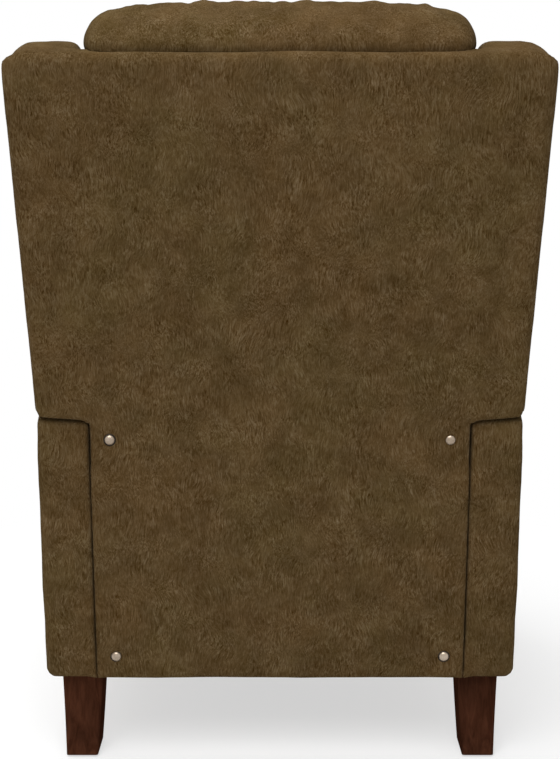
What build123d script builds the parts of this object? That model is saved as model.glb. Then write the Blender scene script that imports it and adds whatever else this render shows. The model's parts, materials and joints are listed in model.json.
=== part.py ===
from build123d import *
from math import asin, atan2, cos, degrees, hypot, radians, sin, sqrt, tan
import os

os.makedirs("parts", exist_ok=True)

# High leg push-back recliner. Millimetres, +Z up, the chair faces -Y, floor at Z = 0.
# Left and right are the sitter's: left is +X.

# body
overall_depth = 914.0
leg_height = 120.0
body_half = 341.5
flare_out = 19.5
arm_thick = 75.0
arm_rise = 107.0
arm_setback = 17.0
cover_wall = 20.0
edge_round = 14.0
arm_round = 40.0
notch_round = 24.0
corner_round = 28.0
seam_gap = 0.3

# back shell
step_height = 513.0
lean_low = radians(7.5)
lean_up = radians(13.0)
back_length = 505.0
pivot_inset = 26.0
pivot_drop = 113.0
ring_gap = 3.0
panel_thick = 18.0
nail_inset = 28.5
nail_lift = 33.0
nail_drop = 32.0
nail_radius = 7.5

# mechanism layers, from the arm's inner face inwards
sheet = 4.0
layer_gap = 3.0
pin_radius = 4.0
pivot_radius = 6.0
run_fit = 0.1
loose_fit = 0.3
head_thick = 2.2
back_arm = 100.0
back_arm_tilt = radians(4.0)
swing_setback = 227.0
swing_drop = 15.0

# footrest linkage
slot_clear = 24.0
link_half = 8.0
rivet_head = 6.5
pivot_head = 9.0
tong_setback = 159.0
tong_drop = 26.0
slot_tilt = radians(5.0)
link_clear = 6.3
opening_angle = radians(76.0)
board_setback = 52.0
board_thick = 15.0
pad_gap = 6.0
pad_lift = 18.0
pad_clear = 16.0
pad_side = 22.0
pad_curl = 24.0
pad_bulge = 7.0
pad_crown = 5.0
board_inset = 8.0

# seat
seat_rail_drop = 70.0
seat_rail_tall = 35.0
spring_wire = 4.0
seat_gap = 5.0
seat_setback = 13.0
seat_to_pivot = 135.5
cushion_tall = 87.0
cushion_rise = 38.0
lip_lift = 2.0
lip_slope = 10.0
seat_nose = 22.0
seat_heel = 10.0

# back frame and cushion
post_wide = 36.0
post_deep = 40.0
strap_thick = 1.5
head_gap = 3.0
cushion_deep = 144.0
head_rise = 49.0
head_roll = 70.0
cushion_tuck = 38.0
waist_in = 14.0
cushion_side = 6.0
seat_side = 26.0
waist_gap = 5.0

# derived lines of the front and rear faces
front_reach = -overall_depth / 2
arm_front = front_reach + arm_setback
back_top_half = body_half + flare_out
arm_height = step_height + arm_rise
pivot_height = step_height - pivot_drop
x_arm = body_half - arm_thick
shell_end = (back_length - edge_round) * sin(lean_up) + edge_round * (1 - cos(lean_up))
y_base = overall_depth / 2 - (step_height - leg_height) * tan(lean_low) - shell_end
y_step = y_base + (step_height - leg_height) * tan(lean_low)
pivot = (y_base - pivot_inset, pivot_height)
ring = hypot(y_step - pivot[0], step_height - pivot[1])


def rear(z, inset=0.0):
    # rear face of the lower body at height z
    return y_base + (z - leg_height) * tan(lean_low) - inset


def up(t, d):
    # point t up the reclining shell's rear face and d forward of it
    y = y_step + t * sin(lean_up) - d * cos(lean_up)
    return (y, step_height + t * cos(lean_up) + d * sin(lean_up))


def depth_of(point):
    # forward depth of a point from the reclining shell's rear face
    return (y_step - point.Y) * cos(lean_up) + (point.Z - step_height) * sin(lean_up)


def across(x_low, thick, side):
    # plane whose extrusion by thick fills x_low to x_low + thick on one side
    return Plane.YZ.offset(x_low if side > 0 else -x_low - thick)


def bar(p, q, half):
    # rounded bar between two pivots, added to the sketch in hand
    run = hypot(q[0] - p[0], q[1] - p[1])
    turn = degrees(atan2(q[1] - p[1], q[0] - p[0]))
    with Locations(((p[0] + q[0]) / 2, (p[1] + q[1]) / 2)):
        SlotCenterToCenter(run, 2 * half, rotation=turn)


def hole(p, radius):
    with Locations(p):
        Circle(radius, mode=Mode.SUBTRACT)


def shift(p, v, n=1.0):
    return (p[0] + n * v[0], p[1] + n * v[1])


seat_rail_low = pivot_height - seat_rail_drop
seat_rail_high = seat_rail_low + seat_rail_tall
cushion_edge = seat_rail_high + cushion_tall
cushion_crown = cushion_edge + cushion_rise
lip_low = seat_rail_low + lip_lift
swing_z = seat_rail_low - swing_drop
tong_z = seat_rail_low - tong_drop
link_length = tong_z - leg_height - slot_clear
pad_low = leg_height + pad_lift
pad_high = seat_rail_low - pad_clear
nail_low = leg_height + nail_lift
nail_high = step_height - nail_drop
swing_y = front_reach + swing_setback
tong_y = front_reach + tong_setback
board_back = front_reach + board_setback
nail_x = x_arm - nail_inset
pad_half = x_arm - pad_gap
cushion_half = x_arm - seat_gap
cushion_front = front_reach + seat_setback
cushion_back = pivot[0] - seat_to_pivot
sides = ((1, "left"), (-1, "right"))
shell_plane = Plane((0, y_step, step_height), (1, 0, 0), (0, -cos(lean_up), sin(lean_up)))

# mechanism layers
x_plate = x_arm - sheet
x_swing = x_plate - layer_gap - sheet
x_seat = x_swing - layer_gap - sheet
x_a = x_seat - layer_gap - sheet
x_b = x_a - layer_gap - sheet
head_play = (layer_gap - head_thick) / 2

# pivots of the seat
seat_pin = (pivot[0] + back_arm * sin(back_arm_tilt), pivot[1] - back_arm * cos(back_arm_tilt))
swing_top = (swing_y, swing_z)
swing_low = (swing_y + seat_pin[0] - pivot[0], swing_z + seat_pin[1] - pivot[1])

# pivots of the footrest tongs, closed
closed_angle = asin((2 * link_half + link_clear) / link_length)
tong = (tong_y, tong_z)
along = (-cos(slot_tilt), sin(slot_tilt))
down = (-sin(slot_tilt), -cos(slot_tilt))
reach = link_length * sin(closed_angle)
drop = link_length * cos(closed_angle)
vec_a = (reach * along[0] + drop * down[0], reach * along[1] + drop * down[1])
vec_b = (reach * along[0] - drop * down[0], reach * along[1] - drop * down[1])
slot_far = shift(tong, down, drop)
slot_near = shift(tong, down, link_length * cos(closed_angle + opening_angle))
top_1 = shift(tong, along, reach)
top_2 = shift(tong, along, 2 * reach)
low_1 = shift(tong, vec_a)
low_2 = shift(top_1, vec_a)
mid_1 = shift(tong, vec_a, 0.5)
mid_2 = shift(top_1, vec_a, 0.5)
mid_3 = shift(top_2, vec_a, 0.5)

# outline of the arm: notch behind the armrest, then an arc about the back pivot
notch_reach = 156.5
notch_span = 100.0
notch_top = (pivot[0] - notch_reach, arm_height)
notch_low_y = pivot[0] - notch_span
notch_low = (notch_low_y, pivot[1] + sqrt(ring**2 - (pivot[0] - notch_low_y) ** 2))
frame_top = arm_height - cover_wall
stub_rise = 70.0
stub_top = pivot_height + stub_rise
rail_tall = 80.0
rail_high = leg_height + rail_tall
inner_wall = 19.0
frame_in = x_arm + inner_wall
frame_out = body_half - cover_wall
frame_thick = frame_out - frame_in
frame_front = arm_front + cover_wall
frame_inset = 24.0
frame_end = (notch_top[0] - frame_inset, frame_top)
frame_notch = (notch_low_y - 1.5 * frame_inset, stub_top)
post_run = 45.0
top_rail_tall = 35.0
top_rail_low = frame_top - top_rail_tall
leg_wide = 59.0
leg_deep = 75.0
leg_foot = 46.0
leg_lap = 6.0
leg_x = x_arm + leg_wide / 2 - leg_lap
rear_leg_y = rear(leg_height, cover_wall) - leg_deep / 2
front_leg_y = frame_front + leg_wide / 2
leg_bolt = 4.0
glide_high = 3.0
glide_radius = 13.0
stub_deep = 40.0
stretcher_setback = 188.0
stretcher_y = front_reach + stretcher_setback
stretcher_deep = 30.0
stretcher_high = 50.0
stretcher_lift = 2.0
low_rail_lift = 4.0
low_rail_tall = 60.0
low_rail_foot = leg_height + low_rail_lift
low_rail_top = low_rail_foot + low_rail_tall
low_rail_deep = 30.0
back_rail_tall = 40.0
back_rail_drop = 13.0
top_rail_head = step_height - back_rail_drop
top_rail_foot = top_rail_head - back_rail_tall
top_rail_deep = 22.0
nail_shank = 2.0
nail_run = 30.0
nail_dome = 4.0
nail_rim = 0.6
panel_gap = 2.0
panel_round = 6.0
panel_low = leg_height + panel_gap
panel_high = step_height - panel_gap
panel_normal = (0, cos(lean_low), -sin(lean_low))
strap_spots = (120.0, 205.0, 320.0, 405.0)
strap_wide = 50.0
spring_share = (-0.75, -0.25, 0.25, 0.75)
spring_turns = 11
spring_wave = 24.0
spring_bend = 18.0
spring_seat = 20.0
tube_radius = 8.0
leg_round = 4.0
leg_rake = 22.0
leg_knee = 0.4
leg_bow = 0.45
bolt_sunk = 45.0
bolt_rise = 40.0

# steel plates
plate_setback = 242.0
plate_short = 63.5
plate_rise = 40.0
plate_front = (front_reach + plate_setback, leg_height + plate_rise)
plate_back = (pivot[0] - plate_short, leg_height + plate_rise)
plate_half = 28.0
boss = 18.0
pin_half = 16.0
swing_half = 14.0
pin_lead = 20.0
screw_inset = 35.0
screw_spots = (
    plate_front[0] + screw_inset,
    (plate_front[0] + plate_back[0]) / 2,
    plate_back[0] - screw_inset,
)
screw_radius = 3.0
screw_run = 28.0
screw_head = 5.5
strip_mid = (seat_rail_low + seat_rail_high) / 2
strip_front = (tong_y, strip_mid)
strip_back = (seat_pin[0], strip_mid)
strip_half = (seat_rail_high - seat_rail_low) / 2 - 0.5
slot_half = 18.0
slot_head = 25.0
slot_tail = 6.0
slot_run = drop - link_length * cos(closed_angle + opening_angle)
slot_mid = shift(slot_near, down, slot_run / 2)
bolt_inset = 75.0
seat_bolts = (
    strip_front[0] + 2 * bolt_inset,
    (strip_front[0] + strip_back[0]) / 2,
    strip_back[0] - bolt_inset,
)

# back bracket and posts
neck_rises = (60.0, 108.0, 158.0)
neck_leans = (15.0, 33.0, 5.0)
neck_low = shift(pivot, (-neck_leans[0], neck_rises[0]))
neck_high = shift(pivot, (-neck_leans[1], neck_rises[1]))
neck_back = shift(pivot, (-neck_leans[2], neck_rises[2]))
neck_half = 12.0
tab_low = 45.0
tab_high = 190.0
tab_bolts = (70.0, 175.0)
tab_depth = cover_wall + post_deep / 2
post_low = 18.0
post_sink = 7.0
post_high = back_length - post_sink
lumbar_rise = 230.0
post_front = cover_wall + post_deep
bolt_run = 30.0

# wings
wing_lap = 2.5
x_wing = x_arm - wing_lap
wing_block = 100.0
wing_clear = back_top_half + wing_block
block_top = step_height + 2 * back_length
wing_gap = 4.0
wing_top_deep = 160.0
wing_knee = 60.0
wing_brow = 55.0
wing_soft = 26.0
rim_skip = 8.0
seam_skip = 10.0
return_lap = 4.0
core_in = 36.0
x_core = x_wing + core_in
core_thick = 18.0
core_inset = 18.0
notch_len = hypot(notch_top[0] - notch_low[0], notch_top[1] - notch_low[1])
notch_dir = ((notch_top[0] - notch_low[0]) / notch_len, (notch_top[1] - notch_low[1]) / notch_len)
notch_out = (notch_dir[1], -notch_dir[0])
knee_rise = 45.0
foot_sink = 30.0
core_steps = (45.0, 15.0, 75.0, 80.0)
knee = shift(shift(notch_top, notch_out, wing_gap), notch_dir, knee_rise)
foot = shift(shift(notch_low, notch_out, wing_gap), notch_dir, -foot_sink)
wing_outline = (
    up(-2 * foot_sink, cover_wall),
    up(back_length, cover_wall),
    up(back_length, wing_top_deep),
    knee,
    foot,
)
core_outline = (
    up(core_steps[0], cover_wall + core_inset),
    up(back_length - core_steps[0], cover_wall + core_inset),
    up(back_length - core_steps[0], wing_top_deep - core_steps[0]),
    shift(knee, (core_steps[0], core_steps[1])),
    shift(knee, (core_steps[2], -core_steps[3])),
)

# seat frame
rail_wide = 30.0
rail_setback = 67.0
front_rail_deep = 35.0
rail_front = front_reach + rail_setback
rail_back = pivot[0] - rail_wide + run_fit
front_rail_face = rail_front - front_rail_deep
lip_back = front_rail_face - seam_gap

# footrest bracket flange
flange_wide = 29.0
flange_thick = 3.0
flange_drop = 9.0
flange_lift = 27.0
flange_top = pad_high - flange_drop
flange_low = pad_low + flange_lift
flange_less = 14.0
flange_more = 20.0


def flare(z):
    # half width of the reclining shell at height z
    rise = (z - step_height) / (back_length * cos(lean_up))
    return body_half + rise * (back_top_half - body_half)


def on_wing_front(edge):
    # edges of a wing that face the sitter or the ceiling
    c = edge.center()
    off_ring = hypot(c.Y - pivot[0], c.Z - pivot[1]) > ring + ring_gap + rim_skip
    return off_ring and depth_of(c) > cover_wall + seam_skip


def on_back_rim(edge):
    # rear edges of the outside back, above its lower rim
    c = edge.center()
    return depth_of(c) < 1 and c.Z > step_height + 1.5 * cover_wall


for side, hand in sides:
    with BuildPart() as arm_cover:
        with BuildSketch(across(x_arm, arm_thick, side)):
            with BuildLine():
                Polyline(
                    notch_low,
                    notch_top,
                    (arm_front, arm_height),
                    (arm_front, leg_height),
                    (rear(leg_height), leg_height),
                    (y_step, step_height),
                )
                ThreePointArc((y_step, step_height), (pivot[0], pivot[1] + ring), notch_low)
            make_face()
            fillet(vertices().group_by(Axis.Y)[-1].sort_by(Axis.X)[:1], arm_round)
            fillet(vertices().group_by(Axis.Y)[-1].sort_by(Axis.X)[-1:], notch_round)
            fillet(vertices().sort_by_distance(notch_low)[:1], notch_round)
        extrude(amount=arm_thick)
        outer = faces().sort_by(Axis.X)[-1 if side > 0 else 0]
        fillet(outer.edges(), edge_round)
        inner = faces().sort_by(Axis.X)[0 if side > 0 else -1]
        fillet(inner.edges().filter_by(lambda e: e.center().Z > arm_height - 1.5 * arm_round), edge_round)
        with BuildSketch(across(frame_in, frame_thick, side)):
            Polygon(
                (frame_front, leg_height),
                (frame_front, frame_top),
                frame_end,
                frame_notch,
                (rear(stub_top, cover_wall), stub_top),
                (rear(leg_height, cover_wall), leg_height),
                align=None,
            )
        extrude(amount=frame_thick, mode=Mode.SUBTRACT)
        with BuildSketch(across(x_arm, arm_thick - cover_wall, side)):
            Polygon(
                (frame_front, leg_height),
                (frame_front, rail_high),
                (rear(rail_high, cover_wall), rail_high),
                (rear(leg_height, cover_wall), leg_height),
                align=None,
            )
        extrude(amount=arm_thick - cover_wall, mode=Mode.SUBTRACT)
    arm_cover.part.label = f"arm_cover_{hand}"
    export_step(arm_cover.part, f"parts/arm_cover_{hand}.step")

    with BuildPart() as leg_front:
        with BuildSketch(Plane.XY.offset(leg_height)):
            with Locations((side * leg_x, front_leg_y)):
                RectangleRounded(leg_wide, leg_wide, leg_round)
        with BuildSketch(Plane.XY.offset(glide_high)):
            with Locations((side * leg_x, front_leg_y - (leg_wide - leg_foot) / 4)):
                RectangleRounded(leg_foot, leg_foot, leg_round)
        loft()
        with BuildSketch(Plane.XY.offset(leg_height)):
            with Locations((side * leg_x, front_leg_y)):
                Circle(leg_bolt + run_fit)
        extrude(amount=-bolt_sunk, mode=Mode.SUBTRACT)
    leg_front.part.label = f"leg_front_{hand}"
    export_step(leg_front.part, f"parts/leg_front_{hand}.step")

    with BuildPart() as leg_rear:
        with BuildSketch(Plane.XY.offset(leg_height)):
            with Locations((side * leg_x, rear_leg_y)):
                RectangleRounded(leg_wide, leg_deep, leg_round)
        with BuildSketch(Plane.XY.offset(leg_height * leg_knee)):
            with Locations((side * leg_x, rear_leg_y + leg_rake * leg_bow)):
                RectangleRounded(leg_foot + leg_knee * (leg_wide - leg_foot), leg_deep, leg_round)
        with BuildSketch(Plane.XY.offset(glide_high)):
            with Locations((side * leg_x, rear_leg_y + leg_rake)):
                RectangleRounded(leg_foot, leg_deep, leg_round)
        loft()
        with BuildSketch(Plane.XY.offset(leg_height)):
            with Locations((side * leg_x, rear_leg_y)):
                Circle(leg_bolt + run_fit)
        extrude(amount=-bolt_sunk, mode=Mode.SUBTRACT)
    leg_rear.part.label = f"leg_rear_{hand}"
    export_step(leg_rear.part, f"parts/leg_rear_{hand}.step")

    # steel plate screwed to the bottom rail, carrying the back pivot and the front swing pivot
    with BuildPart() as base_plate:
        with BuildSketch(across(x_plate, sheet, side)):
            bar(plate_front, plate_back, plate_half)
            bar(plate_front, swing_top, boss)
            bar(plate_back, pivot, boss)
            hole(swing_top, pivot_radius + run_fit)
            hole(pivot, pivot_radius + run_fit)
            for y in screw_spots:
                hole((y, plate_front[1]), screw_radius + run_fit)
        extrude(amount=sheet)
    base_plate.part.label = f"base_plate_{hand}"
    export_step(base_plate.part, f"parts/base_plate_{hand}.step")

    with BuildPart() as front_swing_link:
        with BuildSketch(across(x_swing, sheet, side)):
            bar(swing_top, swing_low, swing_half)
            hole(swing_top, pivot_radius + run_fit)
            hole(swing_low, pivot_radius + loose_fit)
        extrude(amount=sheet)
    front_swing_link.part.label = f"front_swing_link_{hand}"
    export_step(front_swing_link.part, f"parts/front_swing_link_{hand}.step")

    # the back bracket steps forward round the rear top rail, so the back can swing over it
    with BuildPart() as back_bracket:
        with BuildSketch(across(x_swing, sheet, side)):
            bar(seat_pin, pivot, swing_half)
            bar(pivot, neck_low, neck_half)
            bar(neck_low, neck_high, neck_half)
            bar(neck_high, neck_back, neck_half)
            bar(neck_back, up(tab_low, tab_depth), neck_half)
            bar(up(tab_low, tab_depth), up(tab_high, tab_depth), neck_half)
            hole(seat_pin, pivot_radius + run_fit)
            hole(pivot, pivot_radius + run_fit)
            for t in tab_bolts:
                hole(up(t, tab_depth), leg_bolt + run_fit)
        extrude(amount=sheet)
    back_bracket.part.label = f"back_bracket_{hand}"
    export_step(back_bracket.part, f"parts/back_bracket_{hand}.step")

    with BuildPart() as back_post:
        with BuildSketch(across(x_swing - post_wide, post_wide, side)):
            Polygon(
                up(post_low, cover_wall),
                up(post_high, cover_wall),
                up(post_high, post_front),
                up(post_low, post_front),
                align=None,
            )
        extrude(amount=post_wide)
        with BuildSketch(across(x_swing - bolt_run, bolt_run, side)):
            for t in tab_bolts:
                with Locations(up(t, tab_depth)):
                    Circle(leg_bolt + run_fit)
        extrude(amount=bolt_run, mode=Mode.SUBTRACT)
    back_post.part.label = f"back_post_{hand}"
    export_step(back_post.part, f"parts/back_post_{hand}.step")

    # wing: plywood core inside a padded cover that sits on the arm's arc
    with BuildPart() as wing_cover:
        with BuildSketch(across(x_wing, wing_block, side)):
            Polygon(*wing_outline, align=None)
            fillet(vertices().group_by(Axis.X)[0], wing_knee)
            fillet(vertices().sort_by_distance(up(back_length, wing_top_deep))[:1], wing_brow)
            with Locations(pivot):
                Circle(ring + ring_gap, mode=Mode.SUBTRACT)
            toe = shift(notch_low, notch_out, wing_gap)
            fillet(vertices().sort_by_distance(toe)[:1], notch_round + wing_gap)
        extrude(amount=wing_block)
        with BuildSketch(Plane.XZ):
            Polygon(
                (side * flare(pivot_height), pivot_height),
                (side * wing_clear, pivot_height),
                (side * wing_clear, block_top),
                (side * flare(block_top), block_top),
                align=None,
            )
        extrude(amount=overall_depth, both=True, mode=Mode.SUBTRACT)
        outer = faces().sort_by(Axis.X)[-1 if side > 0 else 0]
        fillet(outer.edges().filter_by(on_wing_front), wing_soft)
        inner = faces().sort_by(Axis.X)[0 if side > 0 else -1]
        fillet(inner.edges().filter_by(on_wing_front), wing_soft)
        with BuildSketch(across(x_core - seam_gap, core_thick + 2 * seam_gap, side)):
            Polygon(*core_outline, align=None)
            offset(amount=seam_gap)
        extrude(amount=core_thick + 2 * seam_gap, mode=Mode.SUBTRACT)
    wing_cover.part.label = f"wing_cover_{hand}"
    export_step(wing_cover.part, f"parts/wing_cover_{hand}.step")

    with BuildPart() as wing_panel:
        with BuildSketch(across(x_core, core_thick, side)):
            Polygon(*core_outline, align=None)
        extrude(amount=core_thick)
    wing_panel.part.label = f"wing_panel_{hand}"
    export_step(wing_panel.part, f"parts/wing_panel_{hand}.step")

    with BuildPart() as seat_plate:
        with BuildSketch(across(x_seat, sheet, side)):
            bar(strip_front, strip_back, strip_half)
            bar((swing_low[0], strip_front[1]), swing_low, pin_half)
            bar((seat_pin[0] - pin_lead, strip_front[1]), seat_pin, pin_half)
            bar(shift(tong, down, -slot_head), shift(slot_far, down, slot_tail), slot_half)
            hole(swing_low, pivot_radius + run_fit)
            hole(seat_pin, pivot_radius + run_fit)
            hole(tong, pin_radius + run_fit)
            with Locations(slot_mid):
                SlotCenterToCenter(
                    slot_run + 2 * loose_fit,
                    2 * (pin_radius + loose_fit),
                    rotation=degrees(atan2(down[1], down[0])),
                    mode=Mode.SUBTRACT,
                )
            for y in seat_bolts:
                hole((y, strip_front[1]), screw_radius + run_fit)
        extrude(amount=sheet)
    seat_plate.part.label = f"seat_plate_{hand}"
    export_step(seat_plate.part, f"parts/seat_plate_{hand}.step")

    with BuildPart() as seat_side_rail:
        with BuildSketch(across(x_seat - rail_wide, rail_wide, side)):
            with BuildLine():
                Polyline(
                    (rail_front, seat_rail_low),
                    (rail_back, seat_rail_low),
                    (rail_back, seat_rail_high),
                    (rail_front, seat_rail_high),
                    close=True,
                )
            make_face()
        extrude(amount=rail_wide)
        with BuildSketch(across(x_seat - screw_run, screw_run, side)):
            for y in seat_bolts:
                with Locations((y, strip_front[1])):
                    Circle(screw_radius + run_fit)
        extrude(amount=screw_run, mode=Mode.SUBTRACT)
    seat_side_rail.part.label = f"seat_side_rail_{hand}"
    export_step(seat_side_rail.part, f"parts/seat_side_rail_{hand}.step")

    # footrest bracket: third bar of the tongs with a flange along the board
    with BuildPart() as footrest_bracket:
        with BuildSketch(across(x_a, sheet, side)):
            bar(top_2, mid_3, link_half)
            Polygon(
                shift(top_2, (0, link_half)),
                shift(mid_3, (0, -link_half)),
                (board_back, mid_3[1] - flange_more),
                (board_back, top_2[1] - flange_less),
                align=None,
            )
            hole(top_2, pin_radius + run_fit)
            hole(mid_3, pin_radius + loose_fit)
        extrude(amount=sheet)
        with BuildSketch(across(x_a + sheet - flange_wide, flange_wide, side)):
            with Locations((board_back + flange_thick / 2, (flange_top + flange_low) / 2)):
                Rectangle(flange_thick, flange_top - flange_low)
        extrude(amount=flange_wide)
    footrest_bracket.part.label = f"footrest_bracket_{hand}"
    export_step(footrest_bracket.part, f"parts/footrest_bracket_{hand}.step")

# arm frames, one of each member at either side
with BuildPart() as arm_bottom_rails:
    for side, hand in sides:
        with BuildSketch(across(x_arm, arm_thick - cover_wall, side)):
            Polygon(
                (frame_front, leg_height),
                (frame_front, rail_high),
                (rear(rail_high, cover_wall), rail_high),
                (rear(leg_height, cover_wall), leg_height),
                align=None,
            )
        extrude(amount=arm_thick - cover_wall)
        with BuildSketch(Plane.XY.offset(leg_height)):
            with Locations((side * leg_x, front_leg_y), (side * leg_x, rear_leg_y)):
                Circle(leg_bolt + run_fit)
        extrude(amount=bolt_rise, mode=Mode.SUBTRACT)
        with BuildSketch(across(x_arm, screw_run, side)):
            for y in screw_spots:
                with Locations((y, plate_front[1])):
                    Circle(screw_radius + run_fit)
        extrude(amount=screw_run, mode=Mode.SUBTRACT)
arm_bottom_rails.part.label = "arm_bottom_rails"
export_step(arm_bottom_rails.part, "parts/arm_bottom_rails.step")

with BuildPart() as arm_front_posts:
    for side, hand in sides:
        with BuildSketch(across(frame_in, frame_thick, side)):
            with Locations((frame_front + post_run / 2, (rail_high + top_rail_low) / 2)):
                Rectangle(post_run, top_rail_low - rail_high)
        extrude(amount=frame_thick)
arm_front_posts.part.label = "arm_front_posts"
export_step(arm_front_posts.part, "parts/arm_front_posts.step")

with BuildPart() as arm_mid_posts:
    for side, hand in sides:
        with BuildSketch(across(frame_in, frame_thick, side)):
            with Locations((frame_end[0] - post_run / 2, (rail_high + top_rail_low) / 2)):
                Rectangle(post_run, top_rail_low - rail_high)
        extrude(amount=frame_thick)
arm_mid_posts.part.label = "arm_mid_posts"
export_step(arm_mid_posts.part, "parts/arm_mid_posts.step")

with BuildPart() as arm_rear_posts:
    for side, hand in sides:
        with BuildSketch(across(frame_in, frame_thick, side)):
            Polygon(
                (rear(rail_high, cover_wall), rail_high),
                (rear(stub_top, cover_wall), stub_top),
                (rear(stub_top, cover_wall + post_run), stub_top),
                (rear(rail_high, cover_wall + post_run), rail_high),
                align=None,
            )
        extrude(amount=frame_thick)
arm_rear_posts.part.label = "arm_rear_posts"
export_step(arm_rear_posts.part, "parts/arm_rear_posts.step")

with BuildPart() as arm_top_rails:
    for side, hand in sides:
        with BuildSketch(across(frame_in, frame_thick, side)):
            Polygon(
                (frame_front, top_rail_low),
                (frame_front, frame_top),
                frame_end,
                (frame_end[0], top_rail_low),
                align=None,
            )
        extrude(amount=frame_thick)
arm_top_rails.part.label = "arm_top_rails"
export_step(arm_top_rails.part, "parts/arm_top_rails.step")

with BuildPart() as arm_stub_rails:
    for side, hand in sides:
        with BuildSketch(across(frame_in, frame_thick, side)):
            Polygon(
                (frame_end[0], stub_top - stub_deep),
                (frame_end[0], stub_top),
                (rear(stub_top, cover_wall + post_run), stub_top),
                (rear(stub_top - stub_deep, cover_wall + post_run), stub_top - stub_deep),
                align=None,
            )
        extrude(amount=frame_thick)
arm_stub_rails.part.label = "arm_stub_rails"
export_step(arm_stub_rails.part, "parts/arm_stub_rails.step")

with BuildPart() as leg_bolts:
    with BuildSketch(Plane.XY.offset(leg_height - bolt_sunk)):
        for side, hand in sides:
            with Locations((side * leg_x, front_leg_y), (side * leg_x, rear_leg_y)):
                Circle(leg_bolt)
    extrude(amount=bolt_sunk + bolt_rise)
leg_bolts.part.label = "leg_bolts"
export_step(leg_bolts.part, "parts/leg_bolts.step")

with BuildPart() as leg_glides:
    with BuildSketch(Plane.XY):
        for side, hand in sides:
            with Locations(
                (side * leg_x, front_leg_y - (leg_wide - leg_foot) / 4),
                (side * leg_x, rear_leg_y + leg_rake),
            ):
                Circle(glide_radius)
    extrude(amount=glide_high)
leg_glides.part.label = "leg_glides"
export_step(leg_glides.part, "parts/leg_glides.step")

# cross members of the base
with BuildPart() as front_stretcher:
    with BuildSketch(across(-x_arm, 2 * x_arm, 1)):
        with Locations((stretcher_y, leg_height + stretcher_high / 2 + stretcher_lift)):
            Rectangle(stretcher_deep, stretcher_high)
    extrude(amount=2 * x_arm)
front_stretcher.part.label = "front_stretcher"
export_step(front_stretcher.part, "parts/front_stretcher.step")

with BuildPart() as rear_bottom_rail:
    with BuildSketch(across(-x_arm, 2 * x_arm, 1)):
        Polygon(
            (rear(low_rail_foot, panel_thick), low_rail_foot),
            (rear(low_rail_top, panel_thick), low_rail_top),
            (rear(low_rail_top, panel_thick + low_rail_deep), low_rail_top),
            (rear(low_rail_foot, panel_thick + low_rail_deep), low_rail_foot),
            align=None,
        )
    extrude(amount=2 * x_arm)
    for x in (nail_x, -nail_x):
        with BuildSketch(Plane((x, rear(nail_low), nail_low), (1, 0, 0), panel_normal)):
            Circle(nail_shank + run_fit)
        extrude(amount=-nail_run, mode=Mode.SUBTRACT)
rear_bottom_rail.part.label = "rear_bottom_rail"
export_step(rear_bottom_rail.part, "parts/rear_bottom_rail.step")

with BuildPart() as rear_top_rail:
    with BuildSketch(across(-x_arm, 2 * x_arm, 1)):
        Polygon(
            (rear(top_rail_foot, panel_thick), top_rail_foot),
            (rear(top_rail_head, panel_thick), top_rail_head),
            (rear(top_rail_head, panel_thick + top_rail_deep), top_rail_head),
            (rear(top_rail_foot, panel_thick + top_rail_deep), top_rail_foot),
            align=None,
        )
    extrude(amount=2 * x_arm)
    for x in (nail_x, -nail_x):
        with BuildSketch(Plane((x, rear(nail_high), nail_high), (1, 0, 0), panel_normal)):
            Circle(nail_shank + run_fit)
        extrude(amount=-nail_run, mode=Mode.SUBTRACT)
rear_top_rail.part.label = "rear_top_rail"
export_step(rear_top_rail.part, "parts/rear_top_rail.step")

with BuildPart() as lower_back_panel:
    with BuildSketch(across(-x_arm + seam_gap, 2 * (x_arm - seam_gap), 1)):
        Polygon(
            (rear(panel_low), panel_low),
            (rear(panel_high), panel_high),
            (rear(panel_high, panel_thick), panel_high),
            (rear(panel_low, panel_thick), panel_low),
            align=None,
        )
    extrude(amount=2 * (x_arm - seam_gap))
    fillet(edges().filter_by(Axis.X).sort_by(Axis.Y)[-1:], panel_round)
    for x in (nail_x, -nail_x):
        for z in (nail_low, nail_high):
            with BuildSketch(Plane((x, rear(z), z), (1, 0, 0), panel_normal)):
                Circle(nail_shank + run_fit)
            extrude(amount=-nail_run, mode=Mode.SUBTRACT)
lower_back_panel.part.label = "lower_back_panel"
export_step(lower_back_panel.part, "parts/lower_back_panel.step")

with BuildPart() as decorative_nails:
    for x in (nail_x, -nail_x):
        for z in (nail_low, nail_high):
            with BuildSketch(Plane((x, rear(z), z), (1, 0, 0), panel_normal)):
                Circle(nail_radius)
            extrude(amount=nail_dome)
            with BuildSketch(Plane((x, rear(z), z), (1, 0, 0), panel_normal)):
                Circle(nail_shank)
            extrude(amount=-nail_run)
    rims = edges().filter_by(GeomType.CIRCLE).filter_by(lambda e: abs(e.radius - nail_radius) < 0.1)
    crowns = rims.filter_by(lambda e: e.arc_center.Y > rear(e.arc_center.Z) + nail_dome / 2)
    fillet(crowns, nail_dome - nail_rim)
decorative_nails.part.label = "decorative_nails"
export_step(decorative_nails.part, "parts/decorative_nails.step")

with BuildPart() as base_plate_screws:
    for side, hand in sides:
        with BuildSketch(across(x_plate, sheet + screw_run, side)):
            for y in screw_spots:
                with Locations((y, plate_front[1])):
                    Circle(screw_radius)
        extrude(amount=sheet + screw_run)
        with BuildSketch(across(x_plate - head_thick, head_thick, side)):
            for y in screw_spots:
                with Locations((y, plate_front[1])):
                    Circle(screw_head)
        extrude(amount=head_thick)
base_plate_screws.part.label = "base_plate_screws"
export_step(base_plate_screws.part, "parts/base_plate_screws.step")

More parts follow.
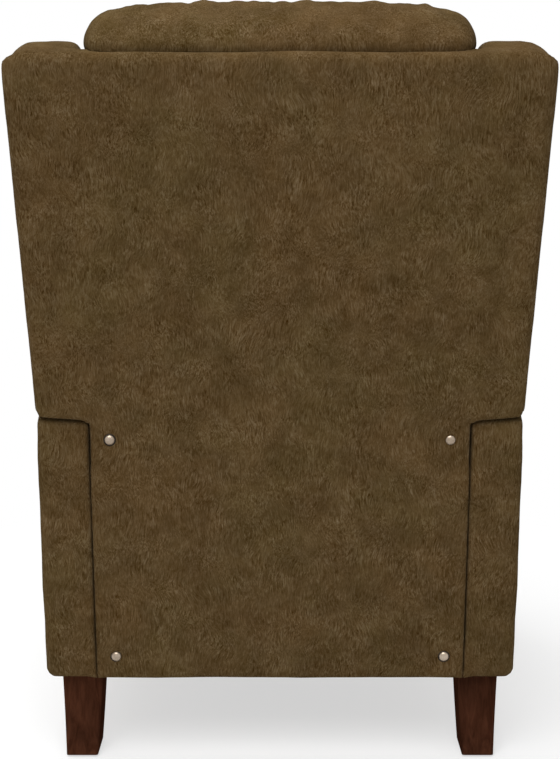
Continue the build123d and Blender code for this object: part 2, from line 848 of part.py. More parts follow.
# shoulder pins of the back pivots and the front swing pivots
with BuildPart() as base_pivot_pins:
    for side, hand in sides:
        with BuildSketch(across(x_swing - head_play - head_thick, head_thick, side)):
            with Locations(pivot, swing_top):
                Circle(pivot_head)
        extrude(amount=head_thick)
        with BuildSketch(across(x_swing - head_play, x_arm - x_swing + head_play, side)):
            with Locations(pivot, swing_top):
                Circle(pivot_radius)
        extrude(amount=x_arm - x_swing + head_play)
base_pivot_pins.part.label = "base_pivot_pins"
export_step(base_pivot_pins.part, "parts/base_pivot_pins.step")

# back frame
rail_span = x_swing - post_wide
for label, low, high in (
    ("back_bottom_rail", post_low, post_low + back_rail_tall),
    ("back_lumbar_rail", lumbar_rise, lumbar_rise + back_rail_tall),
    ("back_top_rail", post_high - back_rail_tall, post_high),
):
    with BuildPart() as back_rail:
        with BuildSketch(across(-rail_span, 2 * rail_span, 1)):
            Polygon(
                up(low, cover_wall),
                up(high, cover_wall),
                up(high, post_front),
                up(low, post_front),
                align=None,
            )
        extrude(amount=2 * rail_span)
    back_rail.part.label = label
    export_step(back_rail.part, f"parts/{label}.step")

with BuildPart() as back_webbing:
    for t in strap_spots:
        with BuildSketch(shell_plane.offset(post_front)):
            with Locations((0, t)):
                Rectangle(2 * x_swing, strap_wide)
        extrude(amount=strap_thick)
back_webbing.part.label = "back_webbing"
export_step(back_webbing.part, "parts/back_webbing.step")

with BuildPart() as back_bracket_bolts:
    for side, hand in sides:
        with BuildSketch(across(x_swing - bolt_run, bolt_run + sheet, side)):
            for t in tab_bolts:
                with Locations(up(t, tab_depth)):
                    Circle(leg_bolt)
        extrude(amount=bolt_run + sheet)
        with BuildSketch(across(x_swing + sheet, head_thick, side)):
            for t in tab_bolts:
                with Locations(up(t, tab_depth)):
                    Circle(pivot_head)
        extrude(amount=head_thick)
back_bracket_bolts.part.label = "back_bracket_bolts"
export_step(back_bracket_bolts.part, "parts/back_bracket_bolts.step")

# outside back: full width panel with a return over the top rail
with BuildPart() as outside_back_cover:
    with BuildSketch(shell_plane):
        Polygon(
            (-body_half, 0),
            (body_half, 0),
            (back_top_half, back_length),
            (-back_top_half, back_length),
            align=None,
        )
        fillet(vertices().group_by(Axis.Y)[-1], corner_round)
    extrude(amount=cover_wall)
    fillet(edges().filter_by(on_back_rim), edge_round)
    with BuildSketch(shell_plane.offset(cover_wall - return_lap)):
        with Locations((0, (post_high + back_length) / 2)):
            Rectangle(2 * (x_wing - seam_gap), back_length - post_high)
    extrude(amount=post_deep + return_lap)
    with BuildSketch(across(-back_top_half, 2 * back_top_half, 1)):
        with Locations(pivot):
            Circle(ring + ring_gap)
    extrude(amount=2 * back_top_half, mode=Mode.SUBTRACT)
outside_back_cover.part.label = "outside_back_cover"
export_step(outside_back_cover.part, "parts/outside_back_cover.step")

# back cushion: tucked in at the waist, full at the lumbar, rolled over at the head
pad_rear = post_front + strap_thick + seam_gap
head_top = back_length + head_rise
head_half = x_wing - head_gap
waist_half = x_swing - waist_gap
back_rows = (
    (-0.297 * back_length, waist_half - waist_in, 0.74, 0.42, 0.67),
    (-0.238 * back_length, waist_half - 0.36 * waist_in, 0.84, 0.54, 0.79),
    (-0.139 * back_length, waist_half, 0.95, 0.67, 0.93),
    (-0.04 * back_length, waist_half, 1.0, 0.76, 1.03),
    (0.099 * back_length, waist_half + 0.29 * waist_in, 0.1, 0.81, 1.08),
    (0.257 * back_length, head_half - 0.07 * waist_in, 0.0, 0.81, 1.05),
    (0.475 * back_length, head_half, 0.0, 0.74, 0.97),
    (0.733 * back_length, head_half, 0.0, 0.75, 0.99),
    (head_top - 1.7 * head_rise, head_half, 0.0, 0.74, 1.0),
    (head_top - 0.9 * head_rise, head_half - 0.03 * head_roll, 0.08, 0.65, 0.93),
    (head_top - 0.45 * head_rise, head_half - 0.17 * head_roll, 0.26, 0.58, 0.83),
    (head_top - 0.16 * head_rise, head_half - 0.46 * head_roll, 0.58, 0.5, 0.72),
    (head_top, head_half - head_roll, 1.0, 0.42, 0.58),
)
with BuildPart() as back_cushion:
    for t, half, tuck_share, edge_share, front_share in back_rows:
        y_row, z_row = up(t, 0)
        d_rear = pad_rear + tuck_share * cushion_tuck
        d_edge = pad_rear + edge_share * cushion_deep
        d_front = pad_rear + front_share * cushion_deep
        with BuildSketch(Plane((0, y_row, z_row), (1, 0, 0), (0, sin(lean_up), cos(lean_up)))):
            with BuildLine():
                Line((-half + cushion_side, -d_rear), (half - cushion_side, -d_rear))
                ThreePointArc(
                    (half - cushion_side, -d_rear),
                    (half, -(d_rear + d_edge) / 2),
                    (half - cushion_side, -d_edge),
                )
                ThreePointArc(
                    (half - cushion_side, -d_edge),
                    (0, -d_front),
                    (-half + cushion_side, -d_edge),
                )
                ThreePointArc(
                    (-half + cushion_side, -d_edge),
                    (-half, -(d_rear + d_edge) / 2),
                    (-half + cushion_side, -d_rear),
                )
            make_face()
    loft(ruled=True)
back_cushion.part.label = "back_cushion"
export_step(back_cushion.part, "parts/back_cushion.step")

# seat frame
with BuildPart() as seat_front_rail:
    with BuildSketch(across(-x_seat, 2 * x_seat, 1)):
        with Locations(((rail_front + front_rail_face) / 2, strip_mid)):
            Rectangle(rail_front - front_rail_face, seat_rail_high - seat_rail_low)
    extrude(amount=2 * x_seat)
seat_front_rail.part.label = "seat_front_rail"
export_step(seat_front_rail.part, "parts/seat_front_rail.step")

inner_span = x_seat - rail_wide
with BuildPart() as seat_rear_rail:
    with BuildSketch(across(-inner_span, 2 * inner_span, 1)):
        with Locations((rail_back - rail_wide / 2, strip_mid)):
            Rectangle(rail_wide, seat_rail_high - seat_rail_low)
    extrude(amount=2 * inner_span)
seat_rear_rail.part.label = "seat_rear_rail"
export_step(seat_rear_rail.part, "parts/seat_rear_rail.step")

spring_run = rail_back - rail_front - rail_wide + 2 * spring_seat
spring_step = spring_run / spring_turns
with BuildPart() as seat_springs:
    for x in (k * inner_span for k in spring_share):
        with BuildSketch(Plane.XY.offset(seat_rail_high)):
            with BuildLine():
                points = []
                for i in range(spring_turns + 1):
                    y = rail_front - spring_seat + i * spring_step
                    a = spring_wave if i % 2 else -spring_wave
                    points.append((x - a, y))
                    points.append((x + a, y))
                FilletPolyline(*points, radius=spring_bend)
            trace(line_width=spring_wire)
        extrude(amount=spring_wire)
seat_springs.part.label = "seat_springs"
export_step(seat_springs.part, "parts/seat_springs.step")

with BuildPart() as seat_plate_bolts:
    for side, hand in sides:
        with BuildSketch(across(x_seat - screw_run, screw_run + sheet, side)):
            for y in seat_bolts:
                with Locations((y, strip_mid)):
                    Circle(screw_radius)
        extrude(amount=screw_run + sheet)
        with BuildSketch(across(x_seat + sheet, head_thick, side)):
            for y in seat_bolts:
                with Locations((y, strip_mid)):
                    Circle(screw_head)
        extrude(amount=head_thick)
seat_plate_bolts.part.label = "seat_plate_bolts"
export_step(seat_plate_bolts.part, "parts/seat_plate_bolts.step")

# shoulder pins carried by the seat plates
with BuildPart() as seat_pivot_pins:
    for side, hand in sides:
        with BuildSketch(across(x_seat, x_swing + sheet + head_play - x_seat, side)):
            with Locations(seat_pin, swing_low):
                Circle(pivot_radius)
        extrude(amount=x_swing + sheet + head_play - x_seat)
        with BuildSketch(across(x_swing + sheet + head_play, head_thick, side)):
            with Locations(seat_pin, swing_low):
                Circle(pivot_head)
        extrude(amount=head_thick)
        with BuildSketch(across(x_a - head_play, x_seat + sheet - x_a + head_play, side)):
            with Locations(tong):
                Circle(pin_radius)
        extrude(amount=x_seat + sheet - x_a + head_play)
        with BuildSketch(across(x_a - head_play - head_thick, head_thick, side)):
            with Locations(tong):
                Circle(rivet_head)
        extrude(amount=head_thick)
seat_pivot_pins.part.label = "seat_pivot_pins"
export_step(seat_pivot_pins.part, "parts/seat_pivot_pins.step")

# seat cushion: crowned top, bowed front, a lip over the front rail
seat_floor = seat_rail_high + spring_wire + seam_gap
seat_rows = (
    (-cushion_half, seat_side, 1.15 * seat_side),
    (-cushion_half + seat_side, 0.23 * seat_side, 0.3 * seat_side),
    (0.0, 0.0, 0.0),
    (cushion_half - seat_side, 0.23 * seat_side, 0.3 * seat_side),
    (cushion_half, seat_side, 1.15 * seat_side),
)
with BuildPart() as seat_cushion:
    for x, shrink, sink in seat_rows:
        edge = cushion_edge - sink * 0.6
        crown = cushion_crown - sink
        bow = cushion_front + shrink * 0.25
        with BuildSketch(Plane.YZ.offset(x)):
            with BuildLine():
                Polyline(
                    (lip_back, lip_low),
                    (lip_back, seat_floor),
                    (cushion_back - shrink * 0.3, seat_floor),
                    (cushion_back - shrink * 0.3, edge + seat_heel),
                )
                ThreePointArc(
                    (cushion_back - shrink * 0.3, edge + seat_heel),
                    ((cushion_front + cushion_back) / 2, crown),
                    (bow + seat_nose, edge),
                )
                ThreePointArc(
                    (bow + seat_nose, edge),
                    (bow, (edge + lip_low) / 2),
                    (bow + lip_slope, lip_low),
                )
                Line((bow + lip_slope, lip_low), (lip_back, lip_low))
            make_face()
    loft(ruled=True)
seat_cushion.part.label = "seat_cushion"
export_step(seat_cushion.part, "parts/seat_cushion.step")

# footrest tongs: bars at both sides with the rivets each one carries
rivet_in = x_a + sheet - x_b + head_play
with BuildPart() as ottoman_rear_links:
    for side, hand in sides:
        with BuildSketch(across(x_a, sheet, side)):
            bar(tong, low_1, link_half)
            hole(tong, pin_radius + run_fit)
            hole(mid_1, pin_radius + run_fit)
            hole(low_1, pin_radius + run_fit)
        extrude(amount=sheet)
        with BuildSketch(across(x_b - head_play, rivet_in, side)):
            with Locations(mid_1, low_1):
                Circle(pin_radius)
        extrude(amount=rivet_in)
        with BuildSketch(across(x_b - head_play - head_thick, head_thick, side)):
            with Locations(mid_1, low_1):
                Circle(rivet_head)
        extrude(amount=head_thick)
ottoman_rear_links.part.label = "ottoman_rear_links"
export_step(ottoman_rear_links.part, "parts/ottoman_rear_links.step")

with BuildPart() as ottoman_cross_links:
    for side, hand in sides:
        with BuildSketch(across(x_b, sheet, side)):
            bar(slot_far, top_1, link_half)
            hole(slot_far, pin_radius + run_fit)
            hole(mid_1, pin_radius + run_fit)
            hole(top_1, pin_radius + run_fit)
        extrude(amount=sheet)
        with BuildSketch(across(x_b, x_a + sheet - x_b + head_play, side)):
            with Locations(top_1):
                Circle(pin_radius)
        extrude(amount=x_a + sheet - x_b + head_play)
        with BuildSketch(across(x_a + sheet + head_play, head_thick, side)):
            with Locations(top_1):
                Circle(rivet_head)
        extrude(amount=head_thick)
        with BuildSketch(across(x_b, x_seat + sheet - x_b + head_play, side)):
            with Locations(slot_far):
                Circle(pin_radius)
        extrude(amount=x_seat + sheet - x_b + head_play)
        with BuildSketch(across(x_seat + sheet + head_play, head_thick, side)):
            with Locations(slot_far):
                Circle(rivet_head)
        extrude(amount=head_thick)
ottoman_cross_links.part.label = "ottoman_cross_links"
export_step(ottoman_cross_links.part, "parts/ottoman_cross_links.step")

with BuildPart() as ottoman_middle_links:
    for side, hand in sides:
        with BuildSketch(across(x_a, sheet, side)):
            bar(top_1, low_2, link_half)
            hole(top_1, pin_radius + run_fit)
            hole(mid_2, pin_radius + run_fit)
            hole(low_2, pin_radius + run_fit)
        extrude(amount=sheet)
        with BuildSketch(across(x_b - head_play, rivet_in, side)):
            with Locations(mid_2, low_2):
                Circle(pin_radius)
        extrude(amount=rivet_in)
        with BuildSketch(across(x_b - head_play - head_thick, head_thick, side)):
            with Locations(low_2):
                Circle(rivet_head)
        extrude(amount=head_thick)
    with BuildSketch(across(-x_b + head_play, 2 * (x_b - head_play), 1)):
        with Locations(mid_2):
            Circle(tube_radius)
    extrude(amount=2 * (x_b - head_play))
ottoman_middle_links.part.label = "ottoman_middle_links"
export_step(ottoman_middle_links.part, "parts/ottoman_middle_links.step")

with BuildPart() as ottoman_front_links:
    for side, hand in sides:
        with BuildSketch(across(x_b, sheet, side)):
            bar(low_1, top_2, link_half)
            hole(low_1, pin_radius + loose_fit)
            hole(mid_2, pin_radius + run_fit)
            hole(top_2, pin_radius + run_fit)
        extrude(amount=sheet)
        with BuildSketch(across(x_b, x_a + sheet - x_b + head_play, side)):
            with Locations(top_2):
                Circle(pin_radius)
        extrude(amount=x_a + sheet - x_b + head_play)
        with BuildSketch(across(x_a + sheet + head_play, head_thick, side)):
            with Locations(top_2):
                Circle(rivet_head)
        extrude(amount=head_thick)
ottoman_front_links.part.label = "ottoman_front_links"
export_step(ottoman_front_links.part, "parts/ottoman_front_links.step")

with BuildPart() as ottoman_end_links:
    for side, hand in sides:
        with BuildSketch(across(x_b, sheet, side)):
            bar(low_2, mid_3, link_half)
            hole(low_2, pin_radius + run_fit)
            hole(mid_3, pin_radius + run_fit)
        extrude(amount=sheet)
        with BuildSketch(across(x_b, x_a + sheet - x_b + head_play, side)):
            with Locations(mid_3):
                Circle(pin_radius)
        extrude(amount=x_a + sheet - x_b + head_play)
        with BuildSketch(across(x_a + sheet + head_play, head_thick, side)):
            with Locations(mid_3):
                Circle(rivet_head)
        extrude(amount=head_thick)
ottoman_end_links.part.label = "ottoman_end_links"
export_step(ottoman_end_links.part, "parts/ottoman_end_links.step")

# footrest
with BuildPart() as footrest_board:
    with BuildSketch(Plane.XZ.offset(-board_back)):
        with Locations((0, (pad_low + pad_high) / 2)):
            Rectangle(2 * (pad_half - board_inset), pad_high - pad_low - 2 * board_inset)
    extrude(amount=board_thick)
footrest_board.part.label = "footrest_board"
export_step(footrest_board.part, "parts/footrest_board.step")

pad_back = board_back - board_thick
pad_rows = (
    (-pad_half, 0.64 * pad_side, 0.73 * pad_side),
    (-pad_half + pad_side, 0.09 * pad_side, 0.18 * pad_side),
    (0.0, 0.0, 0.0),
    (pad_half - pad_side, 0.09 * pad_side, 0.18 * pad_side),
    (pad_half, 0.64 * pad_side, 0.73 * pad_side),
)
with BuildPart() as footrest_pad:
    for x, shrink, sink in pad_rows:
        face = front_reach + sink
        top = pad_high - shrink
        low = pad_low + shrink
        brow = (pad_back + face) / 2 - pad_bulge
        with BuildSketch(Plane.YZ.offset(x)):
            with BuildLine():
                Line((pad_back, low), (pad_back, top))
                ThreePointArc((pad_back, top), (brow, top - pad_crown), (face + pad_bulge, top - pad_curl))
                ThreePointArc(
                    (face + pad_bulge, top - pad_curl),
                    (face, (pad_low + pad_high) / 2),
                    (face + pad_bulge, low + pad_curl),
                )
                ThreePointArc((face + pad_bulge, low + pad_curl), (brow, low + pad_crown), (pad_back, low))
            make_face()
    loft(ruled=True)
footrest_pad.part.label = "footrest_pad"
export_step(footrest_pad.part, "parts/footrest_pad.step")
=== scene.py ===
import json
import math

import bpy
import numpy as np
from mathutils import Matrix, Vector, noise


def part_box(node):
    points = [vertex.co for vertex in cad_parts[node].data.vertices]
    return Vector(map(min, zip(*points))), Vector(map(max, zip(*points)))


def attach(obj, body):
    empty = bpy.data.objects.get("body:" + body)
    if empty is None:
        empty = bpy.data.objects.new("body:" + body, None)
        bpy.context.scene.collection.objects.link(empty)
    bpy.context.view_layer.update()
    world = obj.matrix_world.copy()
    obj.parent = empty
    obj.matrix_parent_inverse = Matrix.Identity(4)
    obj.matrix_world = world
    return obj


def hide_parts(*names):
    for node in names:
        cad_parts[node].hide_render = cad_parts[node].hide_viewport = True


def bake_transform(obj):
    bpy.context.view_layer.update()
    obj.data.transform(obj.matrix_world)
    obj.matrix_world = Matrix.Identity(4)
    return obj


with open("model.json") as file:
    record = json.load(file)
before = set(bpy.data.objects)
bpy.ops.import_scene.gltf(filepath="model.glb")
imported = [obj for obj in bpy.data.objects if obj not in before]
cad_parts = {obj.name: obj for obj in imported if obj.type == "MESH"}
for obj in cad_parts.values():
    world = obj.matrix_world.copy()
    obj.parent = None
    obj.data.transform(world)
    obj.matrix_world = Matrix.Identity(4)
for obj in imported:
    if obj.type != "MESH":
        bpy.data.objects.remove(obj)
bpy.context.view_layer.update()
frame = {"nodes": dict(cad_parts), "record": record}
scene = bpy.context.scene
scene.view_settings.view_transform = "Standard"
print("frame loaded:", len(frame["nodes"]), "nodes")

# lines of the chair that its soft pieces share, metres
shell = {
    "legTop": 0.120,
    "baseY": 0.29445,
    "leanLow": math.radians(7.5),
    "stepZ": 0.513,
    "leanUp": math.radians(13.0),
    "length": 0.505,
    "armIn": 0.2665,
    "half": 0.3415,
    "flare": 0.0195,
    "pivot": (0.26845, 0.400),
}
shell["stepY"] = shell["baseY"] + (shell["stepZ"] - shell["legTop"]) * math.tan(shell["leanLow"])
shell["ring"] = math.hypot(shell["stepY"] - shell["pivot"][0], shell["stepZ"] - shell["pivot"][1])
notchLow = (0.16845, 0.4938)
notchTop = (0.11195, 0.620)


def smoothStep(a, b, x):
    t = np.clip((np.asarray(x, float) - a) / (b - a), 0, 1)
    return t * t * (3 - 2 * t)


def bell(x):
    return np.exp(-(x ** 2))


def hump(x, start, run):
    return np.sin(np.pi * np.clip((x - start) / run, 0, 1))


def rearY(z):
    return shell["baseY"] + (z - shell["legTop"]) * math.tan(shell["leanLow"])


def upPoint(t, d):
    # t up the reclining shell's rear face, d forward of it
    s, c = math.sin(shell["leanUp"]), math.cos(shell["leanUp"])
    return shell["stepY"] + t * s - d * c, shell["stepZ"] + t * c + d * s


def shellCoords(co):
    # t and d of points, as upPoint takes them
    s, c = math.sin(shell["leanUp"]), math.cos(shell["leanUp"])
    y, z = co[:, 1] - shell["stepY"], co[:, 2] - shell["stepZ"]
    return y * s + z * c, z * s - y * c


def halfWidth(t):
    return shell["half"] + shell["flare"] * t / shell["length"]


def ringPoint(angle, extra):
    r = shell["ring"] + extra
    return shell["pivot"][0] + r * math.cos(angle), shell["pivot"][1] + r * math.sin(angle)


def ringAngle(y, z):
    return math.atan2(z - shell["pivot"][1], y - shell["pivot"][0])


# mesh helpers

def meshPiece(name, verts, faces):
    mesh = bpy.data.meshes.new(name)
    mesh.from_pydata([tuple(v) for v in verts], [], [tuple(f) for f in faces])
    mesh.update()
    obj = bpy.data.objects.new(name, mesh)
    scene.collection.objects.link(obj)
    return obj


def getVerts(obj):
    co = np.empty(len(obj.data.vertices) * 3)
    obj.data.vertices.foreach_get("co", co)
    return co.reshape(-1, 3)


def setVerts(obj, co):
    obj.data.vertices.foreach_set("co", np.ascontiguousarray(co, float).ravel())
    obj.data.update()


def getNormals(obj):
    no = np.empty(len(obj.data.vertices) * 3)
    obj.data.vertex_normals.foreach_get("vector", no)
    return no.reshape(-1, 3)


def bake(obj):
    # modifiers into a plain mesh
    graph = bpy.context.evaluated_depsgraph_get()
    mesh = bpy.data.meshes.new_from_object(obj.evaluated_get(graph))
    old = obj.data
    obj.modifiers.clear()
    obj.data = mesh
    bpy.data.meshes.remove(old)
    return obj


def roundedPath(corners, step=0.008):
    # corners are (a, b, cut): each corner is rounded from cut before it to cut after it
    pts = [np.array(c[:2], float) for c in corners]
    out = []
    n = len(pts)
    for i in range(n):
        p, cut = pts[i], corners[i][2]
        if cut <= 0:
            out.append(p)
            continue
        before, after = pts[i - 1] - p, pts[(i + 1) % n] - p
        cutA = min(cut, np.linalg.norm(before) * 0.49)
        cutB = min(cut, np.linalg.norm(after) * 0.49)
        a = p + before / np.linalg.norm(before) * cutA
        b = p + after / np.linalg.norm(after) * cutB
        steps = max(3, int(cut / 0.004))
        for k in range(steps + 1):
            t = k / steps
            mid = p * 0.86 + (a + b) * 0.07  # between a circle and the bare corner
            out.append((1 - t) ** 2 * a + 2 * t * (1 - t) * mid + t * t * b)
    dense = []
    for i, p in enumerate(out):
        q = out[(i + 1) % len(out)]
        run = np.linalg.norm(q - p)
        if run < 1e-6:
            continue
        k = max(1, int(math.ceil(run / step)))
        for j in range(k):
            dense.append(p + (q - p) * j / k)
    return np.array(dense)


def inward(path):
    ahead, behind = np.roll(path, -1, 0), np.roll(path, 1, 0)
    tangent = ahead - behind
    tangent /= np.maximum(np.linalg.norm(tangent, axis=1, keepdims=True), 1e-9)
    area = 0.5 * np.sum(path[:, 0] * ahead[:, 1] - ahead[:, 0] * path[:, 1])
    side = np.stack([-tangent[:, 1], tangent[:, 0]], 1)
    return side if area > 0 else -side


def quarterInset(radius, run):
    r = np.maximum(radius, 1e-6)
    k = np.clip(r - run, 0, r)
    return np.where(run < r, r - np.sqrt(np.maximum(r * r - k * k, 0)), 0)


def loftFaces(rings, n):
    # quads between rings of n points, and a cap at each end
    faces = []
    for k in range(rings - 1):
        for i in range(n):
            j = (i + 1) % n
            faces.append((k * n + i, k * n + j, (k + 1) * n + j, (k + 1) * n + i))
    faces.append(tuple(reversed(range(n))))
    faces.append(tuple((rings - 1) * n + i for i in range(n)))
    return faces


def acrossX(a, b, c):
    return c, a, b


def softSlab(path, low, high, radLow, radHigh, place, slope=None):
    # a slab between two faces whose rims are rounded by their own radius at each point of the path
    n = len(path)
    normal = inward(path)
    radLow = np.broadcast_to(np.asarray(radLow, float), (n,))
    radHigh = np.broadcast_to(np.asarray(radHigh, float), (n,))
    spread = np.array([0, 0.03, 0.1, 0.22, 0.4, 0.65, 1.0])
    levels = set(np.round(low + spread * radLow.max(), 6))
    levels |= set(np.round(high - spread * radHigh.max(), 6))
    levels |= set(np.round(np.linspace(low, high, 6), 6))
    levels = sorted(c for c in levels if low - 1e-9 <= c <= high + 1e-9)
    verts = []
    for c in levels:
        inset = np.maximum(quarterInset(radLow, c - low), quarterInset(radHigh, high - c))
        if slope is not None:
            inset = np.maximum(inset, slope * (c - low))
        ring = path + normal * inset[:, None]
        verts += [place(p[0], p[1], c) for p in ring]
    return verts, loftFaces(len(levels), n)


def skin(name, slabs, voxel, relax):
    # several closed slabs under one continuous skin
    verts, faces = [], []
    for v, f in slabs:
        k = len(verts)
        verts += v
        faces += [tuple(i + k for i in g) for g in f]
    obj = meshPiece(name, verts, faces)
    remesh = obj.modifiers.new("skin", "REMESH")
    remesh.mode = "VOXEL"
    remesh.voxel_size = voxel
    remesh.use_smooth_shade = True
    even = obj.modifiers.new("relax", "SMOOTH")
    even.factor = 0.5
    even.iterations = relax
    return bake(obj)


def rumple(co, scale, seed, octaves=3):
    shift = Vector((seed * 3.7, seed * 1.3, seed * 2.1))
    return np.array([noise.fractal(Vector(p) * scale + shift, 0.8, 2.0, octaves) for p in co])


def folds(across, along, scale, layer):
    # small folds that lie beside each other across and run along
    fine, slow = scale
    return np.array([noise.noise(Vector((a * fine, layer, b * slow))) for a, b in zip(across, along)])


def squareCorner(co, corner, size, pull):
    # draws the points round a corner out to it
    near = bell(np.linalg.norm(co - np.array(corner), axis=1) / size)
    co += near[:, None] * np.array(pull)


def inflate(obj, pinned, pressure, cap, share=1.0, frames=20):
    # cloth under air pressure, held at the pinned points; each keeps its share of a move of at most cap
    start = getVerts(obj)
    group = obj.vertex_groups.new(name="held")
    for i in np.nonzero(pinned > 0.02)[0]:
        group.add([int(i)], float(pinned[i]), "REPLACE")
    cloth = obj.modifiers.new("air", "CLOTH")
    s = cloth.settings
    s.quality = 4
    s.mass = 0.25
    s.tension_stiffness = s.compression_stiffness = 12
    s.shear_stiffness = 6
    s.bending_stiffness = 0.6
    s.use_pressure = True
    s.uniform_pressure_force = pressure
    s.vertex_group_mass = "held"
    s.effector_weights.gravity = 0
    cloth.collision_settings.use_collision = False
    cloth.point_cache.frame_start = 1
    cloth.point_cache.frame_end = frames
    for f in range(1, frames + 1):
        scene.frame_set(f)
    bake(obj)
    scene.frame_set(1)
    obj.vertex_groups.clear()
    move = getVerts(obj) - start
    size = np.linalg.norm(move, axis=1, keepdims=True)
    move *= np.minimum(1, cap / np.maximum(size, 1e-9))
    setVerts(obj, start + move * np.broadcast_to(share, len(move))[:, None])


def relaxMesh(obj, rounds, factor=0.5):
    even = obj.modifiers.new("relax", "SMOOTH")
    even.factor = factor
    even.iterations = rounds
    bake(obj)


def finer(obj):
    sub = obj.modifiers.new("finer", "SUBSURF")
    sub.levels = sub.render_levels = 1
    bake(obj)


def dress(obj):
    obj.data.materials.clear()
    obj.data.materials.append(finishes["upholstery"])
    obj.data.polygons.foreach_set("use_smooth", np.ones(len(obj.data.polygons), bool))
    obj.data.update()


def mirrored(obj, name):
    twin = bpy.data.objects.new(name, obj.data.copy())
    twin.data.name = name
    setVerts(twin, getVerts(twin) * np.array((-1, 1, 1)))
    twin.data.flip_normals()
    twin.data.update()
    scene.collection.objects.link(twin)
    return twin


# materials

def startMaterial(name):
    mat = bpy.data.materials.new(name)
    mat.use_nodes = True
    tree = mat.node_tree
    shader = tree.nodes["Principled BSDF"]
    coords = tree.nodes.new("ShaderNodeTexCoord").outputs["Object"]
    return mat, tree, shader, coords


def wire(tree, node, inputs):
    # another node's output is linked to a socket, a plain value is set on it
    for name, value in inputs.items():
        if hasattr(value, "is_linked"):
            tree.links.new(value, node.inputs[name])
        else:
            node.inputs[name].default_value = value
    return node


def addNode(tree, kind, inputs):
    return wire(tree, tree.nodes.new(kind), inputs)


def addNoise(tree, coords, scale, detail=4.0, rough=0.6, stretch=None, distort=0.0):
    if stretch:
        coords = addNode(tree, "ShaderNodeMapping", {"Scale": stretch, "Vector": coords}).outputs["Vector"]
    return addNode(tree, "ShaderNodeTexNoise", {
        "Scale": scale,
        "Detail": detail,
        "Roughness": rough,
        "Distortion": distort,
        "Vector": coords,
    }).outputs["Fac"]


def addRamp(tree, fac, stops):
    r = tree.nodes.new("ShaderNodeValToRGB")
    e = r.color_ramp.elements
    while len(e) < len(stops):
        e.new(0.5)
    for k, (at, colour) in enumerate(stops):
        e[k].position = at
        e[k].color = (*colour, 1)
    tree.links.new(fac, r.inputs["Fac"])
    return r.outputs["Color"]


def addMix(tree, fac, a, b, kind="MIX"):
    m = tree.nodes.new("ShaderNodeMix")
    m.data_type = "RGBA"
    m.blend_type = kind
    wire(tree, m, {0: fac, 6: a, 7: b})
    return m.outputs[2]


def addMath(tree, operation, a, b):
    m = tree.nodes.new("ShaderNodeMath")
    m.operation = operation
    return wire(tree, m, {0: a, 1: b}).outputs[0]


def addRange(tree, fac, low, high, fromLow=0.3, fromHigh=0.7):
    return addNode(tree, "ShaderNodeMapRange", {
        "Value": fac,
        "From Min": fromLow,
        "From Max": fromHigh,
        "To Min": low,
        "To Max": high,
    }).outputs["Result"]


def addBump(tree, height, strength, distance, before=None):
    inputs = {"Height": height, "Strength": strength, "Distance": distance}
    if before is not None:
        inputs["Normal"] = before
    return addNode(tree, "ShaderNodeBump", inputs).outputs["Normal"]


suede = {
    "dark": (0.055, 0.0320, 0.0102),
    "mid": (0.0745, 0.0460, 0.0180),
    "light": (0.098, 0.0640, 0.0292),
    "russet": (0.083, 0.0460, 0.0175),
    "moss": (0.067, 0.0458, 0.0155),
    "tint": 0.28,
    "worn": ((0.86, 0.85, 0.83), (1.14, 1.15, 1.17)),
    "streaks": ((0.38, 0.26, 0.06), (1.75, 2.0, 2.7)),
    "mottle": 48.0,
    "brush": 30.0,
    "sway": (14.0, 0.032),
    "cloud": 22.0,
    "patch": 8.0,
    "nap": (560.0, 560.0, 90.0),
    "grain": 120.0,
    "rough": (0.74, 0.60),
    "sheen": 0.05,
    "sheenRough": 0.45,
    "sheenTint": (0.72, 0.6, 0.42, 1),
}


def addSway(tree, coords, scale, far):
    # coordinates pushed about so that brushed strokes lean this way and that
    push = addNode(tree, "ShaderNodeTexNoise", {"Scale": scale, "Detail": 1.0, "Vector": coords})
    moved = tree.nodes.new("ShaderNodeVectorMath")
    moved.operation = "MULTIPLY_ADD"
    wire(tree, moved, {0: push.outputs["Color"], 1: (far, far, far), 2: coords})
    return moved.outputs["Vector"]


def suedeMaterial():
    q, even = suede, (1, 1, 1)
    mat, tree, shader, coords = startMaterial("mottledSuede")
    mottle = addNoise(tree, coords, q["mottle"], 7, 0.68, distort=0.5)
    colour = addRamp(tree, mottle, [(0.30, q["dark"]), (0.50, q["mid"]), (0.72, q["light"])])
    patch = addNoise(tree, coords, q["patch"], 3, 0.55)
    tint = addRamp(tree, patch, [(0.38, q["moss"]), (0.5, q["mid"]), (0.62, q["russet"])])
    colour = addMix(tree, q["tint"], colour, tint)
    cloud = addNoise(tree, coords, q["cloud"], 3, 0.6)
    worn = addRamp(tree, cloud, [(0.34, q["worn"][0]), (0.5, even), (0.66, q["worn"][1])])
    colour = addMix(tree, 1.0, colour, worn, "MULTIPLY")
    swayed = addSway(tree, coords, *q["sway"])
    nap = addNoise(tree, swayed, 1.0, 5, 0.7, stretch=q["nap"], distort=0.6)
    brushed = addRamp(tree, nap, [(0.32, q["streaks"][0]), (0.5, even), (0.68, q["streaks"][1])])
    # some patches lie flat, others stand up and show their streaks
    standing = addRange(tree, addNoise(tree, coords, q["brush"], 3, 0.6), 0.55, 1.0, 0.42, 0.58)
    colour = addMix(tree, standing, colour, addMix(tree, 1.0, colour, brushed, "MULTIPLY"))
    standsUp = addBump(tree, nap, 0.35, 0.0012)
    wire(tree, shader, {
        "Base Color": colour,
        "Roughness": addRange(tree, mottle, *q["rough"]),
        "Specular IOR Level": 0.0,
        "Sheen Weight": q["sheen"],
        "Sheen Roughness": q["sheenRough"],
        "Sheen Tint": q["sheenTint"],
        "Normal": addBump(tree, addNoise(tree, coords, q["grain"], 5, 0.6), 0.25, 0.002, standsUp),
    })
    return mat


